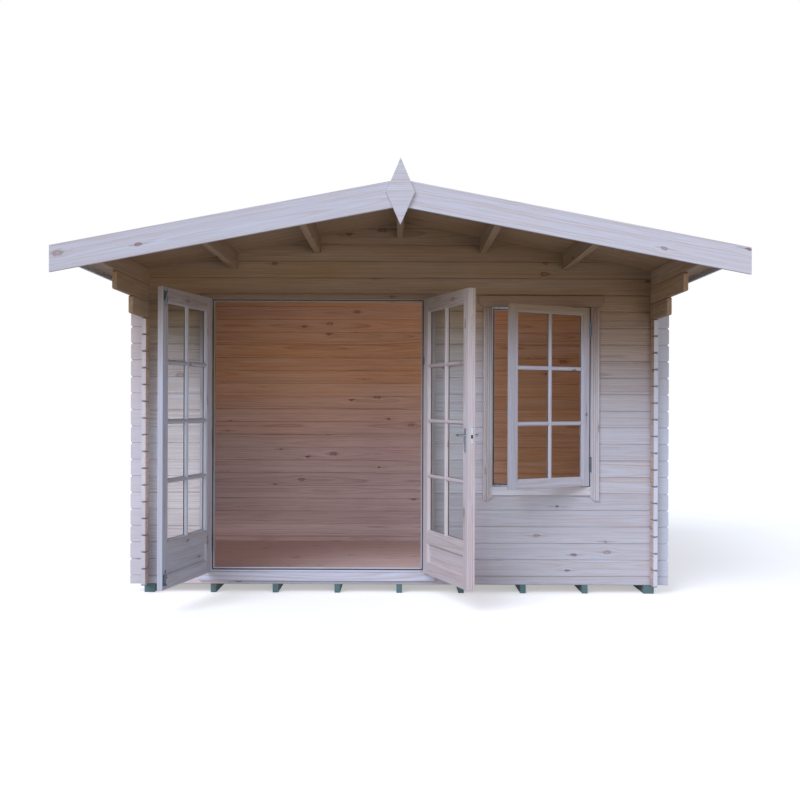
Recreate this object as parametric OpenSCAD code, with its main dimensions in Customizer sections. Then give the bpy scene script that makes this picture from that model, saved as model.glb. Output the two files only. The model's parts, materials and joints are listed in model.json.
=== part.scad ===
// Log cabin of interlocking softwood logs, on treated bearers.
// A glazed double door and a glazed casement look out under a deep roof overhang.
// Millimetres, +Z up, +X to the right and -Y towards the front.
// The origin is on the ground, under the middle of the cabin.

/* [Log walls] */
// Width of the cabin over the outer faces of its side walls
cabin_w = 3400; // [3100:10:3900]
// Depth of the cabin over the outer faces of its front and back walls
cabin_d = 2100; // [1800:10:3000]
// Thickness of the wall logs
wall_t = 28; // [24:1:34]
// Height that each log adds to a wall
log_pitch = 110.5; // [108:0.5:114]
// Least number of logs in a side wall
log_rows = 19; // [19:1:20]
// Number of logs of a side wall above the openings in the front wall
rows_over = 1; // [1:1:2]
// Length of log past the outer face of the wall that it crosses
log_end = 95; // [70:1:120]
// Bevel along the four long edges of a log
log_bevel = 4; // [2:0.5:6]
// Bevel on the corners of a free log end
end_bevel = 9; // [4:1:14]
// Reach of the lowest corbel log in front of the front wall
corbel_low = 433; // [300:1:500]
// Reach of the middle corbel log in front of the front wall
corbel_mid = 808; // [600:1:900]

/* [Base] */
// Height of the bearers
bearer_h = 57; // [45:1:75]
// Width of a middle bearer
bearer_w = 38; // [34:1:50]
// Width of a bearer under a side wall
edge_bearer_w = 70; // [50:1:90]
// Spacing of the middle bearers
bearer_pitch = 413; // [380:1:425]
// Thickness of the floor boards
floor_t = 19; // [15:1:24]

/* [Roof] */
// Slope of the roof in degrees
roof_angle = 10.8; // [9:0.1:12]
// Reach of the roof past the outer faces of the side walls
eave_reach = 246; // [200:1:300]
// Reach of the roof in front of the front wall
front_reach = 1190; // [1000:5:1300]
// Reach of the roof behind the back wall
back_reach = 200; // [160:5:300]
// Thickness of the roof boards
roof_t = 19; // [15:1:22]
// Thickness of the felt
felt_t = 4; // [3:0.5:6]
// Upright height of the gable boards
barge_h = 150; // [130:1:170]
// Thickness of the gable boards
barge_t = 20; // [16:1:25]
// Height that the gable boards stand above the felt
barge_rise = 8; // [4:1:14]
// Width of a purlin
purlin_w = 44; // [36:1:50]
// Height of a purlin
purlin_h = 105; // [90:1:115]
// Spacing of the purlins
purlin_pitch = 552; // [520:1:580]
// Height of the trim under each eave
eave_trim_h = 42; // [38:1:60]
// Thickness of the trim under each eave
eave_trim_t = 16; // [12:1:22]
// Width of the finial
finial_w = 161; // [130:1:190]
// Height of the finial above its widest point
finial_up = 190; // [160:1:210]
// Depth of the finial below its widest point
finial_down = 181; // [160:1:210]
// Thickness of the finial
finial_t = 19; // [15:1:24]

/* [Double door] */
// Place of the middle of the doorway along the front wall
door_x = -547; // [-560:1:-520]
// Width of one door leaf
leaf_w = 735; // [700:1:745]
// Height of a door leaf
leaf_h = 1815; // [1790:1:1818]
// Thickness of a door leaf
leaf_t = 34; // [32:1:40]
// Width of the stiles of a leaf
stile_w = 70; // [60:1:85]
// Height of the top rail of a leaf
top_rail_h = 80; // [65:1:95]
// Height of the rail under the glass
mid_rail_h = 70; // [60:1:90]
// Height of the bottom rail of a leaf
bottom_rail_h = 75; // [60:1:90]
// Height of the solid panel between the two lower rails
door_panel_h = 134; // [110:1:200]
// Thickness of the solid panel
panel_t = 12; // [10:1:18]
// Offset of the solid panel from the middle of a leaf, towards the outside
panel_out = 8; // [0:0.5:8]
// Angle at which the left leaf stands open
left_open = 102.8; // [90:0.1:112]
// Angle at which the right leaf stands open
right_open = 110; // [90:0.5:118]
// Depth of the frame stop that a leaf closes against
stop_w = 25; // [20:1:30]
// Height of the sill between the half log and the leaves
sill_h = 26; // [20:0.5:40]
// Height of the sill's stop above the sill
sill_lap = 27; // [20:1:35]
// Drop of the sill's front lip over the half log
sill_drop = 30; // [20:1:40]
// Least height of the frame head over the leaves
head_h = 27; // [20:0.5:40]
// Thickness of the jambs between the logs and the leaves
jamb_t = 12; // [8:1:20]
// Overlap of the frame stop on the sides of a leaf
side_lap = 46.5; // [35:0.5:50]
// Overlap of the frame stop on the top of a leaf
head_lap = 17; // [12:1:22]
// Reach of the frame over the faces of the logs beside it
frame_lip = 30; // [24:1:36]
// Thickness of frames and casings in front of the logs
frame_proud = 20; // [16:1:24]
// Width of the cover strip on the meeting edge of the right leaf
cover_strip_w = 26; // [20:1:27]
// Thickness of the cover strip
cover_strip_t = 10; // [8:0.5:14]
// Overlap of the cover strip on the closed left leaf
strip_lap = 3; // [2:0.5:8]

/* [Window] */
// Place of the middle of the window along the front wall
window_x = 942; // [935:1:950]
// Width of the sash
sash_w = 646; // [620:1:660]
// Height of the sash
sash_h = 1186; // [1160:1:1200]
// Thickness of the sash
sash_t = 34; // [30:1:40]
// Width of the stiles and bottom rail of the sash
sash_rail_w = 52; // [48:1:66]
// Height of the top rail of the sash
sash_top_h = 42; // [38:1:60]
// Angle at which the sash stands open
sash_open = 30; // [20:0.5:35]
// First log row beside the window, counted from the bottom
window_row = 6; // [5:1:6]
// Height of the frame under the sash
window_sill_h = 49; // [40:1:70]
// Least height of the frame over the sash
window_head_h = 60; // [40:1:80]
// Distance of the sash hinges from the ends of the sash
sash_hinge_inset = 145; // [110:1:200]
// Overlap of the window stop on the sash
sash_lap = 13; // [10:1:18]
// Width of the casing boards beside the window
casing_w = 58; // [50:1:66]
// Height of the casing board over the window
head_casing_h = 74; // [64:1:84]
// Reach of the head casing past the side casings
head_casing_reach = 31; // [20:1:40]
// Height of the rail under the window
apron_h = 58; // [48:1:66]
// Length of the side casings below the rail
casing_drop = 36; // [20:1:50]
// Bevel on the corners of the casing boards
casing_bevel = 26; // [15:1:30]

/* [Glass and ironmongery] */
// Thickness of the glass
glass_t = 4; // [3:0.5:6]
// Offset of the door glass from the middle of a leaf, towards the outside
glass_out = 8; // [0:0.5:9]
// Radius of a hinge knuckle
knuckle_r = 6; // [5:0.25:7]
// Radius of a hinge pin
hinge_pin_r = 3; // [2.5:0.25:3.5]
// Height of a hinge
hinge_h = 100; // [80:1:120]
// Distance of the outer hinges from the ends of a leaf
hinge_inset = 220; // [180:1:260]
// Thickness of a hinge flange
flange_t = 2; // [1.5:0.25:2]
// Width of a hinge flange
flange_w = 30; // [24:1:36]
// Width of the handle plates
plate_w = 32; // [28:1:40]
// Height of the handle plates
plate_h = 148; // [130:1:170]
// Height of the handle plates above their spindle
plate_up = 44; // [36:1:56]
// Thickness of the handle plates
plate_t = 3; // [2:0.5:5]
// Height of the handle spindle above the bottom of the leaf
handle_z = 931; // [880:1:980]
// Radius of the handle spindle
spindle_r = 5; // [4:0.25:6]
// Radius of the handle neck
neck_r = 9; // [8:0.25:10]
// Radius of the lever
lever_r = 7; // [6:0.25:8]
// Length of the lever from its neck to its tip
lever_len = 56; // [50:1:120]
// Distance of the lever from the face of the leaf
lever_reach = 42; // [38:1:54]
// Radius of a door bolt's rod
bolt_r = 4; // [3.5:0.25:4.5]
// Length of a door bolt's rod
bolt_len = 96; // [90:1:120]
// Radius of the holes that the bolts slide into
bolt_hole_r = 5.5; // [5:0.25:6.5]
// Travel of a door bolt
bolt_travel = 30; // [24:1:32]
// Length of a bolt's back plate
bolt_plate_h = 66; // [62:1:76]
// Width of a bolt's back plate
bolt_plate_w = 18; // [16:1:24]
// Thickness of a bolt's back plate
bolt_plate_t = 2; // [1.5:0.5:3]
// Width of the two guides on a bolt's back plate
bolt_guide_w = 14; // [13:1:16]
// Length of the guides along the rod
bolt_guide_h = 9; // [7:1:10]
// Metal of a guide between the rod and its outer face
bolt_guide_t = 2; // [1.5:0.5:3]
// Wood between a bolt's hole and the face of the stop
bolt_edge = 3; // [2.5:0.5:5]
// Radius of a bolt's knob
knob_r = 3.5; // [3:0.25:4]
// Length of the knob from the middle of the rod
knob_len = 14; // [10:1:18]
// Distance of the knob from the end of the rod at the guides
knob_inset = 48; // [46:1:50]
// Distance of a bolt from the free edge of the left leaf
bolt_inset = 20; // [16:1:26]

/* [Clearances] */
// Gap between neighbouring logs
log_gap = 0.5; // [0.2:0.1:0.8]
// Gap between fixed pieces that seat on each other
seat_gap = 0.3; // [0.1:0.1:0.6]
// Running gap around the door leaves
leaf_gap = 5; // [5:0.5:7]
// Running gap around pins, rods and spindles
pin_gap = 0.1; // [0.05:0.05:0.2]

/* [Hidden] */
$fn = 32;
big = 6000;

// Outer half sizes of the walls, and the log heights
half_w = cabin_w / 2;
half_d = cabin_d / 2;
front_y = -half_d;
wall_z = bearer_h;
neck_h = log_pitch / 2 - log_gap;
function side_log_z(row) = wall_z + row * log_pitch;
function front_log_z(row) = wall_z + (row - 0.5) * log_pitch;

// Door leaves, in the frame of the wall's outer face
leaf_y = -frame_proud;
hinge_y = leaf_y - knuckle_r;
hinge_off = leaf_gap / 2;
sill_top = front_log_z(1) + sill_h;
leaf_z = sill_top + leaf_gap;
axis_half = leaf_gap / 2 + leaf_w + hinge_off;
left_axis = [door_x - axis_half, front_y + hinge_y, 0];
right_axis = [door_x + axis_half, front_y + hinge_y, 0];
rebate_half = axis_half + hinge_off;
clear_half = rebate_half - side_lap - leaf_gap;
door_cut_half = rebate_half + jamb_t;
jamb_half = door_cut_half + frame_lip;
stop_y = leaf_y + leaf_t + leaf_gap;
frame_back_y = stop_y + stop_w;
head_z = leaf_z + leaf_h + leaf_gap;
glass_z = bottom_rail_h + door_panel_h + mid_rail_h;
leaf_glass_h = leaf_h - glass_z - top_rail_h;
leaf_inner_w = leaf_w - 2 * stile_w;

// Window, on the log seam under it
window_cut_bottom = front_log_z(window_row);
sash_z = window_cut_bottom + window_sill_h + leaf_gap;
sash_y = -frame_proud;
window_rebate = sash_w / 2 + leaf_gap;
window_clear = window_rebate - sash_lap - leaf_gap;
window_cut_half = window_rebate + casing_w - frame_lip;
sash_axis = [window_x + sash_w / 2 + hinge_off, front_y + sash_y - knuckle_r, 0];

// The doorway and the window each end at the first seam that clears their heads
function row_above(z) = 1 + ceil((z - front_log_z(1)) / log_pitch - 0.001);
door_row = row_above(head_z + head_h);
window_top_row = row_above(sash_z + sash_h + leaf_gap + window_head_h);
low_row = min(door_row, window_top_row);
top_row = max(door_row, window_top_row);

// Rows of logs: the side walls clear the openings, and their three top logs are corbels
side_rows = max(log_rows, top_row + rows_over);
corbel_row = side_rows - 3;
front_rows = side_rows + 3;

// Underside of the roof: it meets the top logs at the inner faces of the side walls
slope = tan(roof_angle);
ridge_z = side_log_z(side_rows) + (half_w - wall_t) * slope;
function under_roof_z(x) = ridge_z - abs(x) * slope;
roof_half_w = half_w + eave_reach;
roof_front_y = front_y - front_reach + barge_t;
roof_back_y = half_d + back_reach - barge_t;
board_rise = roof_t / cos(roof_angle);
felt_rise = felt_t / cos(roof_angle);

// Ironmongery
hinge_heights = [hinge_inset, leaf_h / 2, leaf_h - hinge_inset];
handle_u = hinge_off + leaf_w - stile_w / 2;
bolt_u = hinge_off + leaf_w - bolt_inset;
leaf_in_y = knuckle_r + leaf_t;
bolt_off = leaf_gap + bolt_hole_r + bolt_edge;
bolt_top_z = leaf_h - head_lap - leaf_gap;
bolt_low_z = sill_lap;

wood = "#d9c6b8";
shaded_wood = "#b98f6d";
treated = "#7f9184";
metal = "#8c95a0";

// A box between two corners
module block(a, b) {
    translate(a) cube(b - a);
}

// Section of a log, with its four long edges bevelled
module log_section(h) {
    b = log_bevel;
    polygon([
        [0, b], [b, 0], [wall_t - b, 0], [wall_t, b],
        [wall_t, h - b], [wall_t - b, h], [b, h], [0, h - b]
    ]);
}

// Side view of a log, with the corners of its free ends bevelled
module log_outline(from, to, h, bevel_from, bevel_to) {
    a = bevel_from;
    b = bevel_to;
    polygon([
        [from + a, 0], [to - b, 0], [to, b], [to, h - b],
        [to - b, h], [from + a, h], [from, h - a], [from, a]
    ]);
}

// A log that lies along X, with its outer face on y
module log_x(from, to, y, z, h, bevel_from = 0, bevel_to = 0) {
    intersection() {
        translate([from, y, z]) rotate([90, 0, 90]) linear_extrude(to - from) log_section(h);
        translate([0, y + wall_t + 1, z]) rotate([90, 0, 0])
            linear_extrude(wall_t + 2) log_outline(from, to, h, bevel_from, bevel_to);
    }
}

// A log that lies along Y, with its lower X face on x
module log_y(from, to, x, z, h, bevel_from = 0, bevel_to = 0) {
    intersection() {
        translate([x, to, z]) rotate([90, 0, 0]) linear_extrude(to - from) log_section(h);
        translate([x - 1, 0, z]) rotate([90, 0, 90])
            linear_extrude(wall_t + 2) log_outline(from, to, h, bevel_from, bevel_to);
    }
}

// The two blanks cut from a log where another wall crosses it, centred at height mid
module notch(a, b, mid) {
    block([a[0], a[1], mid - log_pitch], [b[0], b[1], mid - neck_h / 2]);
    block([a[0], a[1], mid + neck_h / 2], [b[0], b[1], mid + log_pitch]);
}

// Notches of a front or back log at both side walls
module side_wall_notches(mid) {
    for (side = [-1, 1]) {
        x = side * (half_w - wall_t / 2);
        reach = wall_t / 2 + log_gap;
        notch([x - reach, -big], [x + reach, big], mid);
    }
}

// Notches of a side log at the front and back walls
module end_wall_notches(mid) {
    for (end = [-1, 1]) {
        y = end * (half_d - wall_t / 2);
        reach = wall_t / 2 + log_gap;
        notch([-big, y - reach], [big, y + reach], mid);
    }
}

// The space under the roof, drawn as an upright slab across the whole cabin
module under_roof(gap) {
    rotate([90, 0, 0]) translate([0, 0, -big / 2]) linear_extrude(big)
        polygon([
            [-big / 2, -1], [big / 2, -1],
            [big / 2, under_roof_z(big / 2) - gap],
            [0, ridge_z - gap],
            [-big / 2, under_roof_z(big / 2) - gap]
        ]);
}

// A run of end-wall logs between two rows, from one X to another
module end_wall_logs(y, first, last, from, to, bevel_from, bevel_to) {
    if (first <= last) intersection() {
        for (row = [first : 1 : last])
            difference() {
                log_x(
                    from, to, y, front_log_z(row) + log_gap / 2,
                    log_pitch - log_gap, bevel_from, bevel_to
                );
                side_wall_notches(front_log_z(row + 0.5));
            }
        under_roof(seat_gap);
    }
}

// The half log that starts an end wall
module half_log(y) {
    h = log_pitch / 2 - log_gap / 2;
    end = half_w + log_end;
    difference() {
        log_x(-end, end, y, wall_z, h, 0, 0);
        side_wall_notches(wall_z);
    }
}

// Logs of an end wall above the doorway, cut to the roof and round the purlins
module gable_logs(y, first) {
    end = half_w + log_end;
    difference() {
        end_wall_logs(y, first, front_rows, -end, end, end_bevel, end_bevel);
        for (i = [-2 : 2])
            translate([0, big / 2, 0]) rotate([90, 0, 0])
                linear_extrude(big) purlin_section(i, seat_gap, roof_t);
    }
}

// Section of one purlin, topped by the slope of the roof
module purlin_section(i, grow, top) {
    x = i * purlin_pitch;
    a = x - purlin_w / 2 - grow;
    b = x + purlin_w / 2 + grow;
    foot = under_roof_z(x) - purlin_h - grow;
    crown = i == 0 ? [[0, ridge_z - seat_gap + top]] : [];
    polygon(concat(
        [[a, foot], [b, foot], [b, under_roof_z(b) - seat_gap + top]],
        crown,
        [[a, under_roof_z(a) - seat_gap + top]]
    ));
}

// A side wall log. side is -1 on the left and 1 on the right
module side_log(side, row, from, to) {
    x = side < 0 ? -half_w : half_w - wall_t;
    difference() {
        log_y(from, to, x, side_log_z(row) + log_gap / 2, log_pitch - log_gap, end_bevel, end_bevel);
        end_wall_notches(side_log_z(row + 0.5));
    }
}

module side_wall(side) {
    for (row = [0 : corbel_row - 1])
        side_log(side, row, -half_d - log_end, half_d + log_end);
}

// The three top logs of a side wall step forward to carry the overhang
module corbels(side) {
    reach = [corbel_low, corbel_mid, front_reach - barge_t - seat_gap];
    back = [log_end, log_end, back_reach - barge_t - seat_gap];
    intersection() {
        for (i = [0 : 2])
            side_log(side, corbel_row + i, front_y - reach[i], half_d + back[i]);
        under_roof(seat_gap);
    }
}

// Base

module bearers() {
    edge_x = half_w - edge_bearer_w / 2;
    color(treated) {
        for (i = [-3 : 3])
            block(
                [i * bearer_pitch - bearer_w / 2, -half_d, 0],
                [i * bearer_pitch + bearer_w / 2, half_d, bearer_h - seat_gap]
            );
        for (side = [-1, 1])
            block(
                [side * edge_x - edge_bearer_w / 2, -half_d, 0],
                [side * edge_x + edge_bearer_w / 2, half_d, bearer_h - seat_gap]
            );
    }
}

module floor() {
    x = half_w - wall_t - seat_gap;
    y = half_d - wall_t - seat_gap;
    color(shaded_wood) block([-x, -y, bearer_h], [x, y, bearer_h + floor_t]);
}

// Walls

module front_sill_log() {
    color(wood) half_log(front_y);
}

module front_wall_left() {
    color(wood) end_wall_logs(
        front_y, 1, door_row - 1,
        -half_w - log_end, door_x - door_cut_half, end_bevel, 0
    );
}

// The logs between the two openings, and any that run over the lower one beside the taller
module front_wall_middle() {
    from = door_x + door_cut_half;
    to = window_x - window_cut_half;
    end = half_w + log_end;
    color(wood) {
        end_wall_logs(front_y, window_row, low_row - 1, from, to, 0, 0);
        end_wall_logs(front_y, door_row, window_top_row - 1, -end, to, end_bevel, 0);
        end_wall_logs(front_y, window_top_row, door_row - 1, from, end, 0, end_bevel);
    }
}

module front_wall_under_window() {
    color(wood) end_wall_logs(
        front_y, 1, window_row - 1,
        door_x + door_cut_half, half_w + log_end, 0, end_bevel
    );
}

module front_wall_right() {
    color(wood) end_wall_logs(
        front_y, window_row, window_top_row - 1,
        window_x + window_cut_half, half_w + log_end, 0, end_bevel
    );
}

module front_gable() {
    color(wood) gable_logs(front_y, top_row);
}

module back_wall() {
    color(wood) {
        half_log(half_d - wall_t);
        gable_logs(half_d - wall_t, 1);
    }
}

module left_wall() {
    color(wood) side_wall(-1);
}

module right_wall() {
    color(wood) side_wall(1);
}

module left_corbels() {
    color(wood) corbels(-1);
}

module right_corbels() {
    color(wood) corbels(1);
}

// Roof

module purlins() {
    color(wood)
        for (i = [-2 : 2])
            translate([0, roof_back_y - seat_gap, 0]) rotate([90, 0, 0])
                linear_extrude(roof_back_y - roof_front_y - 2 * seat_gap) purlin_section(i, 0, 0);
}

// A sheet that lies on one slope, between two heights above the roof's underside
module slope_sheet(side, low, high, edge, front, back) {
    a = side * seat_gap / 2;
    b = side * edge;
    translate([0, back, 0]) rotate([90, 0, 0]) linear_extrude(back - front)
        polygon([
            [a, under_roof_z(a) + low], [b, under_roof_z(b) + low],
            [b, under_roof_z(b) + high], [a, under_roof_z(a) + high]
        ]);
}

module roof_boards(side) {
    slope_sheet(side, 0, board_rise, roof_half_w - eave_trim_t - seat_gap, roof_front_y, roof_back_y);
}

module roof_boards_left() {
    color(wood) roof_boards(-1);
}

module roof_boards_right() {
    color(wood) roof_boards(1);
}

module roof_felt() {
    low = board_rise + seat_gap;
    color("#4c5450")
        for (side = [-1, 1])
            slope_sheet(side, low, low + felt_rise, roof_half_w, roof_front_y, roof_back_y);
}

// The pair of boards that close one end of the roof
module bargeboards(front) {
    top = board_rise + felt_rise + barge_rise;
    for (side = [-1, 1])
        slope_sheet(side, top - barge_h, top, roof_half_w, front, front + barge_t);
}

module front_bargeboards() {
    color(wood) bargeboards(roof_front_y - barge_t - seat_gap);
}

module back_bargeboards() {
    color(wood) bargeboards(roof_back_y + seat_gap);
}

module finial() {
    top = ridge_z + board_rise + felt_rise + barge_rise - barge_h / 2;
    color(wood)
        translate([0, roof_front_y - barge_t - 2 * seat_gap, top]) rotate([90, 0, 0])
            linear_extrude(finial_t)
                polygon([[-finial_w / 2, 0], [0, -finial_down], [finial_w / 2, 0], [0, finial_up]]);
}

module eave_trims() {
    color(wood)
        for (side = [-1, 1]) {
            inner = side * (roof_half_w - eave_trim_t);
            outer = side * roof_half_w;
            translate([0, roof_back_y, 0]) rotate([90, 0, 0])
                linear_extrude(roof_back_y - roof_front_y)
                    polygon([
                        [inner, under_roof_z(inner) + board_rise],
                        [inner, under_roof_z(outer) + board_rise - eave_trim_h],
                        [outer, under_roof_z(outer) + board_rise - eave_trim_h],
                        [outer, under_roof_z(outer) + board_rise]
                    ]);
        }
}

// Door frame

// Plan of a right-hand jamb: lips over the logs, a web between them and the stop
module door_jamb_plan() {
    inner = rebate_half;
    web = door_cut_half - seat_gap;
    polygon([
        [inner, leaf_y], [jamb_half, leaf_y], [jamb_half, -seat_gap], [web, -seat_gap],
        [web, wall_t + seat_gap], [jamb_half, wall_t + seat_gap], [jamb_half, frame_back_y],
        [clear_half, frame_back_y], [clear_half, stop_y], [inner, stop_y]
    ]);
}

module door_jamb(side) {
    translate([door_x, front_y, sill_top + seat_gap])
        mirror([side < 0 ? 1 : 0, 0, 0])
            linear_extrude(head_z - sill_top - 2 * seat_gap) door_jamb_plan();
}

module door_jamb_left() {
    color(wood) door_jamb(-1);
}

module door_jamb_right() {
    color(wood) door_jamb(1);
}

// A horizontal frame member: its lips lap the logs, its web fills the cut
module frame_bar(half_lip, half_web, low, high) {
    block([-half_web, leaf_y, low], [half_web, frame_back_y, high]);
    block([-half_lip, leaf_y, low], [half_lip, -seat_gap, high]);
    block([-half_lip, wall_t + seat_gap, low], [half_lip, frame_back_y, high]);
}

module door_head() {
    web = door_cut_half - seat_gap;
    stop_half = clear_half - seat_gap;
    color(wood) difference() {
        translate([door_x, front_y, 0]) {
            frame_bar(jamb_half, web, head_z, front_log_z(door_row) - seat_gap);
            block(
                [-stop_half, stop_y, head_z - leaf_gap - head_lap],
                [stop_half, frame_back_y, head_z]
            );
        }
        bolt_hole();
    }
}

module door_threshold() {
    web = door_cut_half - seat_gap;
    stop_half = clear_half - seat_gap;
    low = front_log_z(1) + seat_gap;
    color(wood) difference() {
        translate([door_x, front_y, 0]) {
            frame_bar(jamb_half, web, low, sill_top);
            block([-jamb_half, leaf_y, low - sill_drop], [jamb_half, -seat_gap, low]);
            block([-stop_half, stop_y, sill_top], [stop_half, frame_back_y, sill_top + sill_lap]);
        }
        bolt_hole();
    }
}

// The hole that a bolt of the closed left leaf slides into
module bolt_hole() {
    x = left_axis[0] + bolt_u;
    y = left_axis[1] + leaf_in_y + bolt_off;
    spare = bolt_travel / 2;
    translate([x, y, sill_top - spare]) cylinder(r = bolt_hole_r, h = head_z - sill_top + 2 * spare);
}

// Window

module window_frame() {
    web = window_cut_half - seat_gap;
    y = frame_back_y;
    stop_low = sash_z + sash_lap;
    stop_high = sash_z + sash_h - sash_lap;
    low = window_cut_bottom + seat_gap;
    high = front_log_z(window_top_row) - seat_gap;
    color(wood) translate([window_x, front_y, 0]) difference() {
        block([-web, 0, low], [web, y, high]);
        block(
            [-window_rebate, -1, sash_z - leaf_gap],
            [window_rebate, stop_y, sash_z + sash_h + leaf_gap]
        );
        block([-window_clear, -1, stop_low], [window_clear, y + 1, stop_high]);
    }
}

module window_casing() {
    inner = window_rebate;
    outer = inner + casing_w;
    low = sash_z - leaf_gap;
    high = sash_z + sash_h + leaf_gap;
    foot = low - apron_h - casing_drop;
    b = casing_bevel;
    head = outer + head_casing_reach;
    color(wood) translate([window_x, front_y - seat_gap, 0]) rotate([90, 0, 0])
        linear_extrude(frame_proud - seat_gap) {
            for (side = [-1, 1])
                polygon([
                    [side * inner, foot + b], [side * (inner + b), foot],
                    [side * outer, foot], [side * outer, high - seat_gap],
                    [side * inner, high - seat_gap]
                ]);
            polygon([
                [-inner + seat_gap, low - apron_h], [inner - seat_gap, low - apron_h],
                [inner - seat_gap, low], [-inner + seat_gap, low]
            ]);
            polygon([
                [-head + b, high], [head - b, high], [head, high + b],
                [head, high + head_casing_h], [-head, high + head_casing_h], [-head, high + b]
            ]);
        }
}

// Places a piece of the sash, drawn closed with its hinge axis on the origin
module on_sash() {
    translate([sash_axis[0], sash_axis[1], sash_z]) rotate([0, 0, sash_open]) children();
}

module window_sash() {
    a = -hinge_off - sash_w;
    b = -hinge_off;
    r = sash_rail_w;
    y = knuckle_r;
    color(wood) on_sash() difference() {
        block([a, y, 0], [b, y + sash_t, sash_h]);
        block([a + r, y - 1, r], [b - r, y + sash_t + 1, sash_h - sash_top_h]);
    }
}

module window_glass() {
    a = -hinge_off - sash_w + sash_rail_w + seat_gap;
    b = -hinge_off - sash_rail_w - seat_gap;
    y = knuckle_r + sash_t / 2 - glass_t / 2;
    low = sash_rail_w + seat_gap;
    high = sash_h - sash_top_h - seat_gap;
    color("#cfdde2") on_sash() block([a, y, low], [b, y + glass_t, high]);
}

module window_hinges() {
    color(metal)
        for (z = [sash_hinge_inset, sash_h - sash_hinge_inset])
            translate([sash_axis[0], sash_axis[1], sash_z + z - hinge_h / 2])
                cylinder(r = knuckle_r - seat_gap, h = hinge_h);
}

// Door leaves

// Places a piece of the left leaf, drawn closed with its hinge axis on the origin
module on_left() {
    translate([left_axis[0], left_axis[1], leaf_z]) rotate([0, 0, -left_open]) children();
}

// Places a piece of the right leaf, drawn as a left one
module on_right() {
    translate([right_axis[0], right_axis[1], leaf_z]) rotate([0, 0, right_open])
        mirror([1, 0, 0]) children();
}

// Stiles and rails of a leaf
module leaf_frame() {
    a = hinge_off;
    b = a + leaf_w;
    y = knuckle_r;
    low = bottom_rail_h;
    difference() {
        block([a, y, 0], [b, y + leaf_t, leaf_h]);
        block([a + stile_w, y - 1, low], [b - stile_w, y + leaf_t + 1, low + door_panel_h]);
        block([a + stile_w, y - 1, glass_z], [b - stile_w, y + leaf_t + 1, leaf_h - top_rail_h]);
    }
}

// A sheet that fills one opening of a leaf, outwards of the middle of its thickness
module leaf_fill(low, high, thickness, out) {
    a = hinge_off + stile_w + seat_gap;
    b = hinge_off + leaf_w - stile_w - seat_gap;
    y = knuckle_r + leaf_t / 2 - thickness / 2 - out;
    block([a, y, low + seat_gap], [b, y + thickness, high - seat_gap]);
}

module leaf_panel() {
    leaf_fill(bottom_rail_h, bottom_rail_h + door_panel_h, panel_t, panel_out);
}

module leaf_glass() {
    leaf_fill(glass_z, leaf_h - top_rail_h, glass_t, glass_out);
}

// The half of each hinge that is fixed to a leaf: a flange on its edge and the upper knuckle
module leaf_hinges() {
    for (z = hinge_heights) {
        x = hinge_off - seat_gap;
        difference() {
            union() {
                translate([0, 0, z + pin_gap]) cylinder(r = knuckle_r - seat_gap, h = hinge_h / 2);
                block([x - flange_t, 0, z + pin_gap], [x, flange_w, z + hinge_h / 2]);
            }
            translate([0, 0, z - 1]) cylinder(r = hinge_pin_r + pin_gap, h = hinge_h);
        }
    }
}

// The half of each hinge that is fixed to the frame: a flange, the lower knuckle and the pin
module frame_hinges() {
    for (z = hinge_heights) {
        x = -hinge_off + seat_gap;
        translate([0, 0, z - hinge_h / 2]) cylinder(r = knuckle_r - seat_gap, h = hinge_h / 2 - pin_gap);
        translate([0, 0, z - hinge_h / 2]) cylinder(r = hinge_pin_r, h = hinge_h + flange_t);
        block([x, 0, z - hinge_h / 2], [x + flange_t, flange_w, z - pin_gap]);
    }
}

module left_leaf() {
    color(wood) on_left() leaf_frame();
}

module left_panel() {
    color(wood) on_left() leaf_panel();
}

module left_glass() {
    color("#cfdde2") on_left() leaf_glass();
}

module left_hinges() {
    color(metal) on_left() leaf_hinges();
}

module right_leaf() {
    color(wood) on_right() difference() {
        leaf_frame();
        spindle_bore();
    }
}

module right_panel() {
    color(wood) on_right() leaf_panel();
}

module right_glass() {
    color("#cfdde2") on_right() leaf_glass();
}

module right_hinges() {
    color(metal) on_right() leaf_hinges();
}

// Strip on the right leaf that covers the gap between the closed leaves
module cover_strip() {
    edge = hinge_off + leaf_w;
    lap = leaf_gap + strip_lap;
    y = knuckle_r - seat_gap;
    color(wood) on_right() difference() {
        block([edge + lap - cover_strip_w, y - cover_strip_t, 0], [edge + lap, y, leaf_h]);
        block([edge, y - leaf_gap, -1], [edge + lap + 1, y + 1, leaf_h + 1]);
    }
}

// Pins and fixed flanges of all the door hinges
module hinge_pins() {
    color(metal) {
        translate([left_axis[0], left_axis[1], leaf_z]) frame_hinges();
        translate([right_axis[0], right_axis[1], leaf_z]) mirror([1, 0, 0]) frame_hinges();
    }
}

// Handle and bolts

// The bore that the handle's spindle turns in
module spindle_bore() {
    reach = 2 * leaf_t;
    translate([handle_u, reach, handle_z]) rotate([90, 0, 0])
        cylinder(r = spindle_r + pin_gap, h = 2 * reach);
}

module handle_plates() {
    outer = knuckle_r - seat_gap;
    inner = leaf_in_y + seat_gap;
    high = handle_z + plate_up;
    color(metal) on_right() difference() {
        for (y = [outer - plate_t, inner])
            block(
                [handle_u - plate_w / 2, y, high - plate_h],
                [handle_u + plate_w / 2, y + plate_t, high]
            );
        spindle_bore();
    }
}

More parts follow.
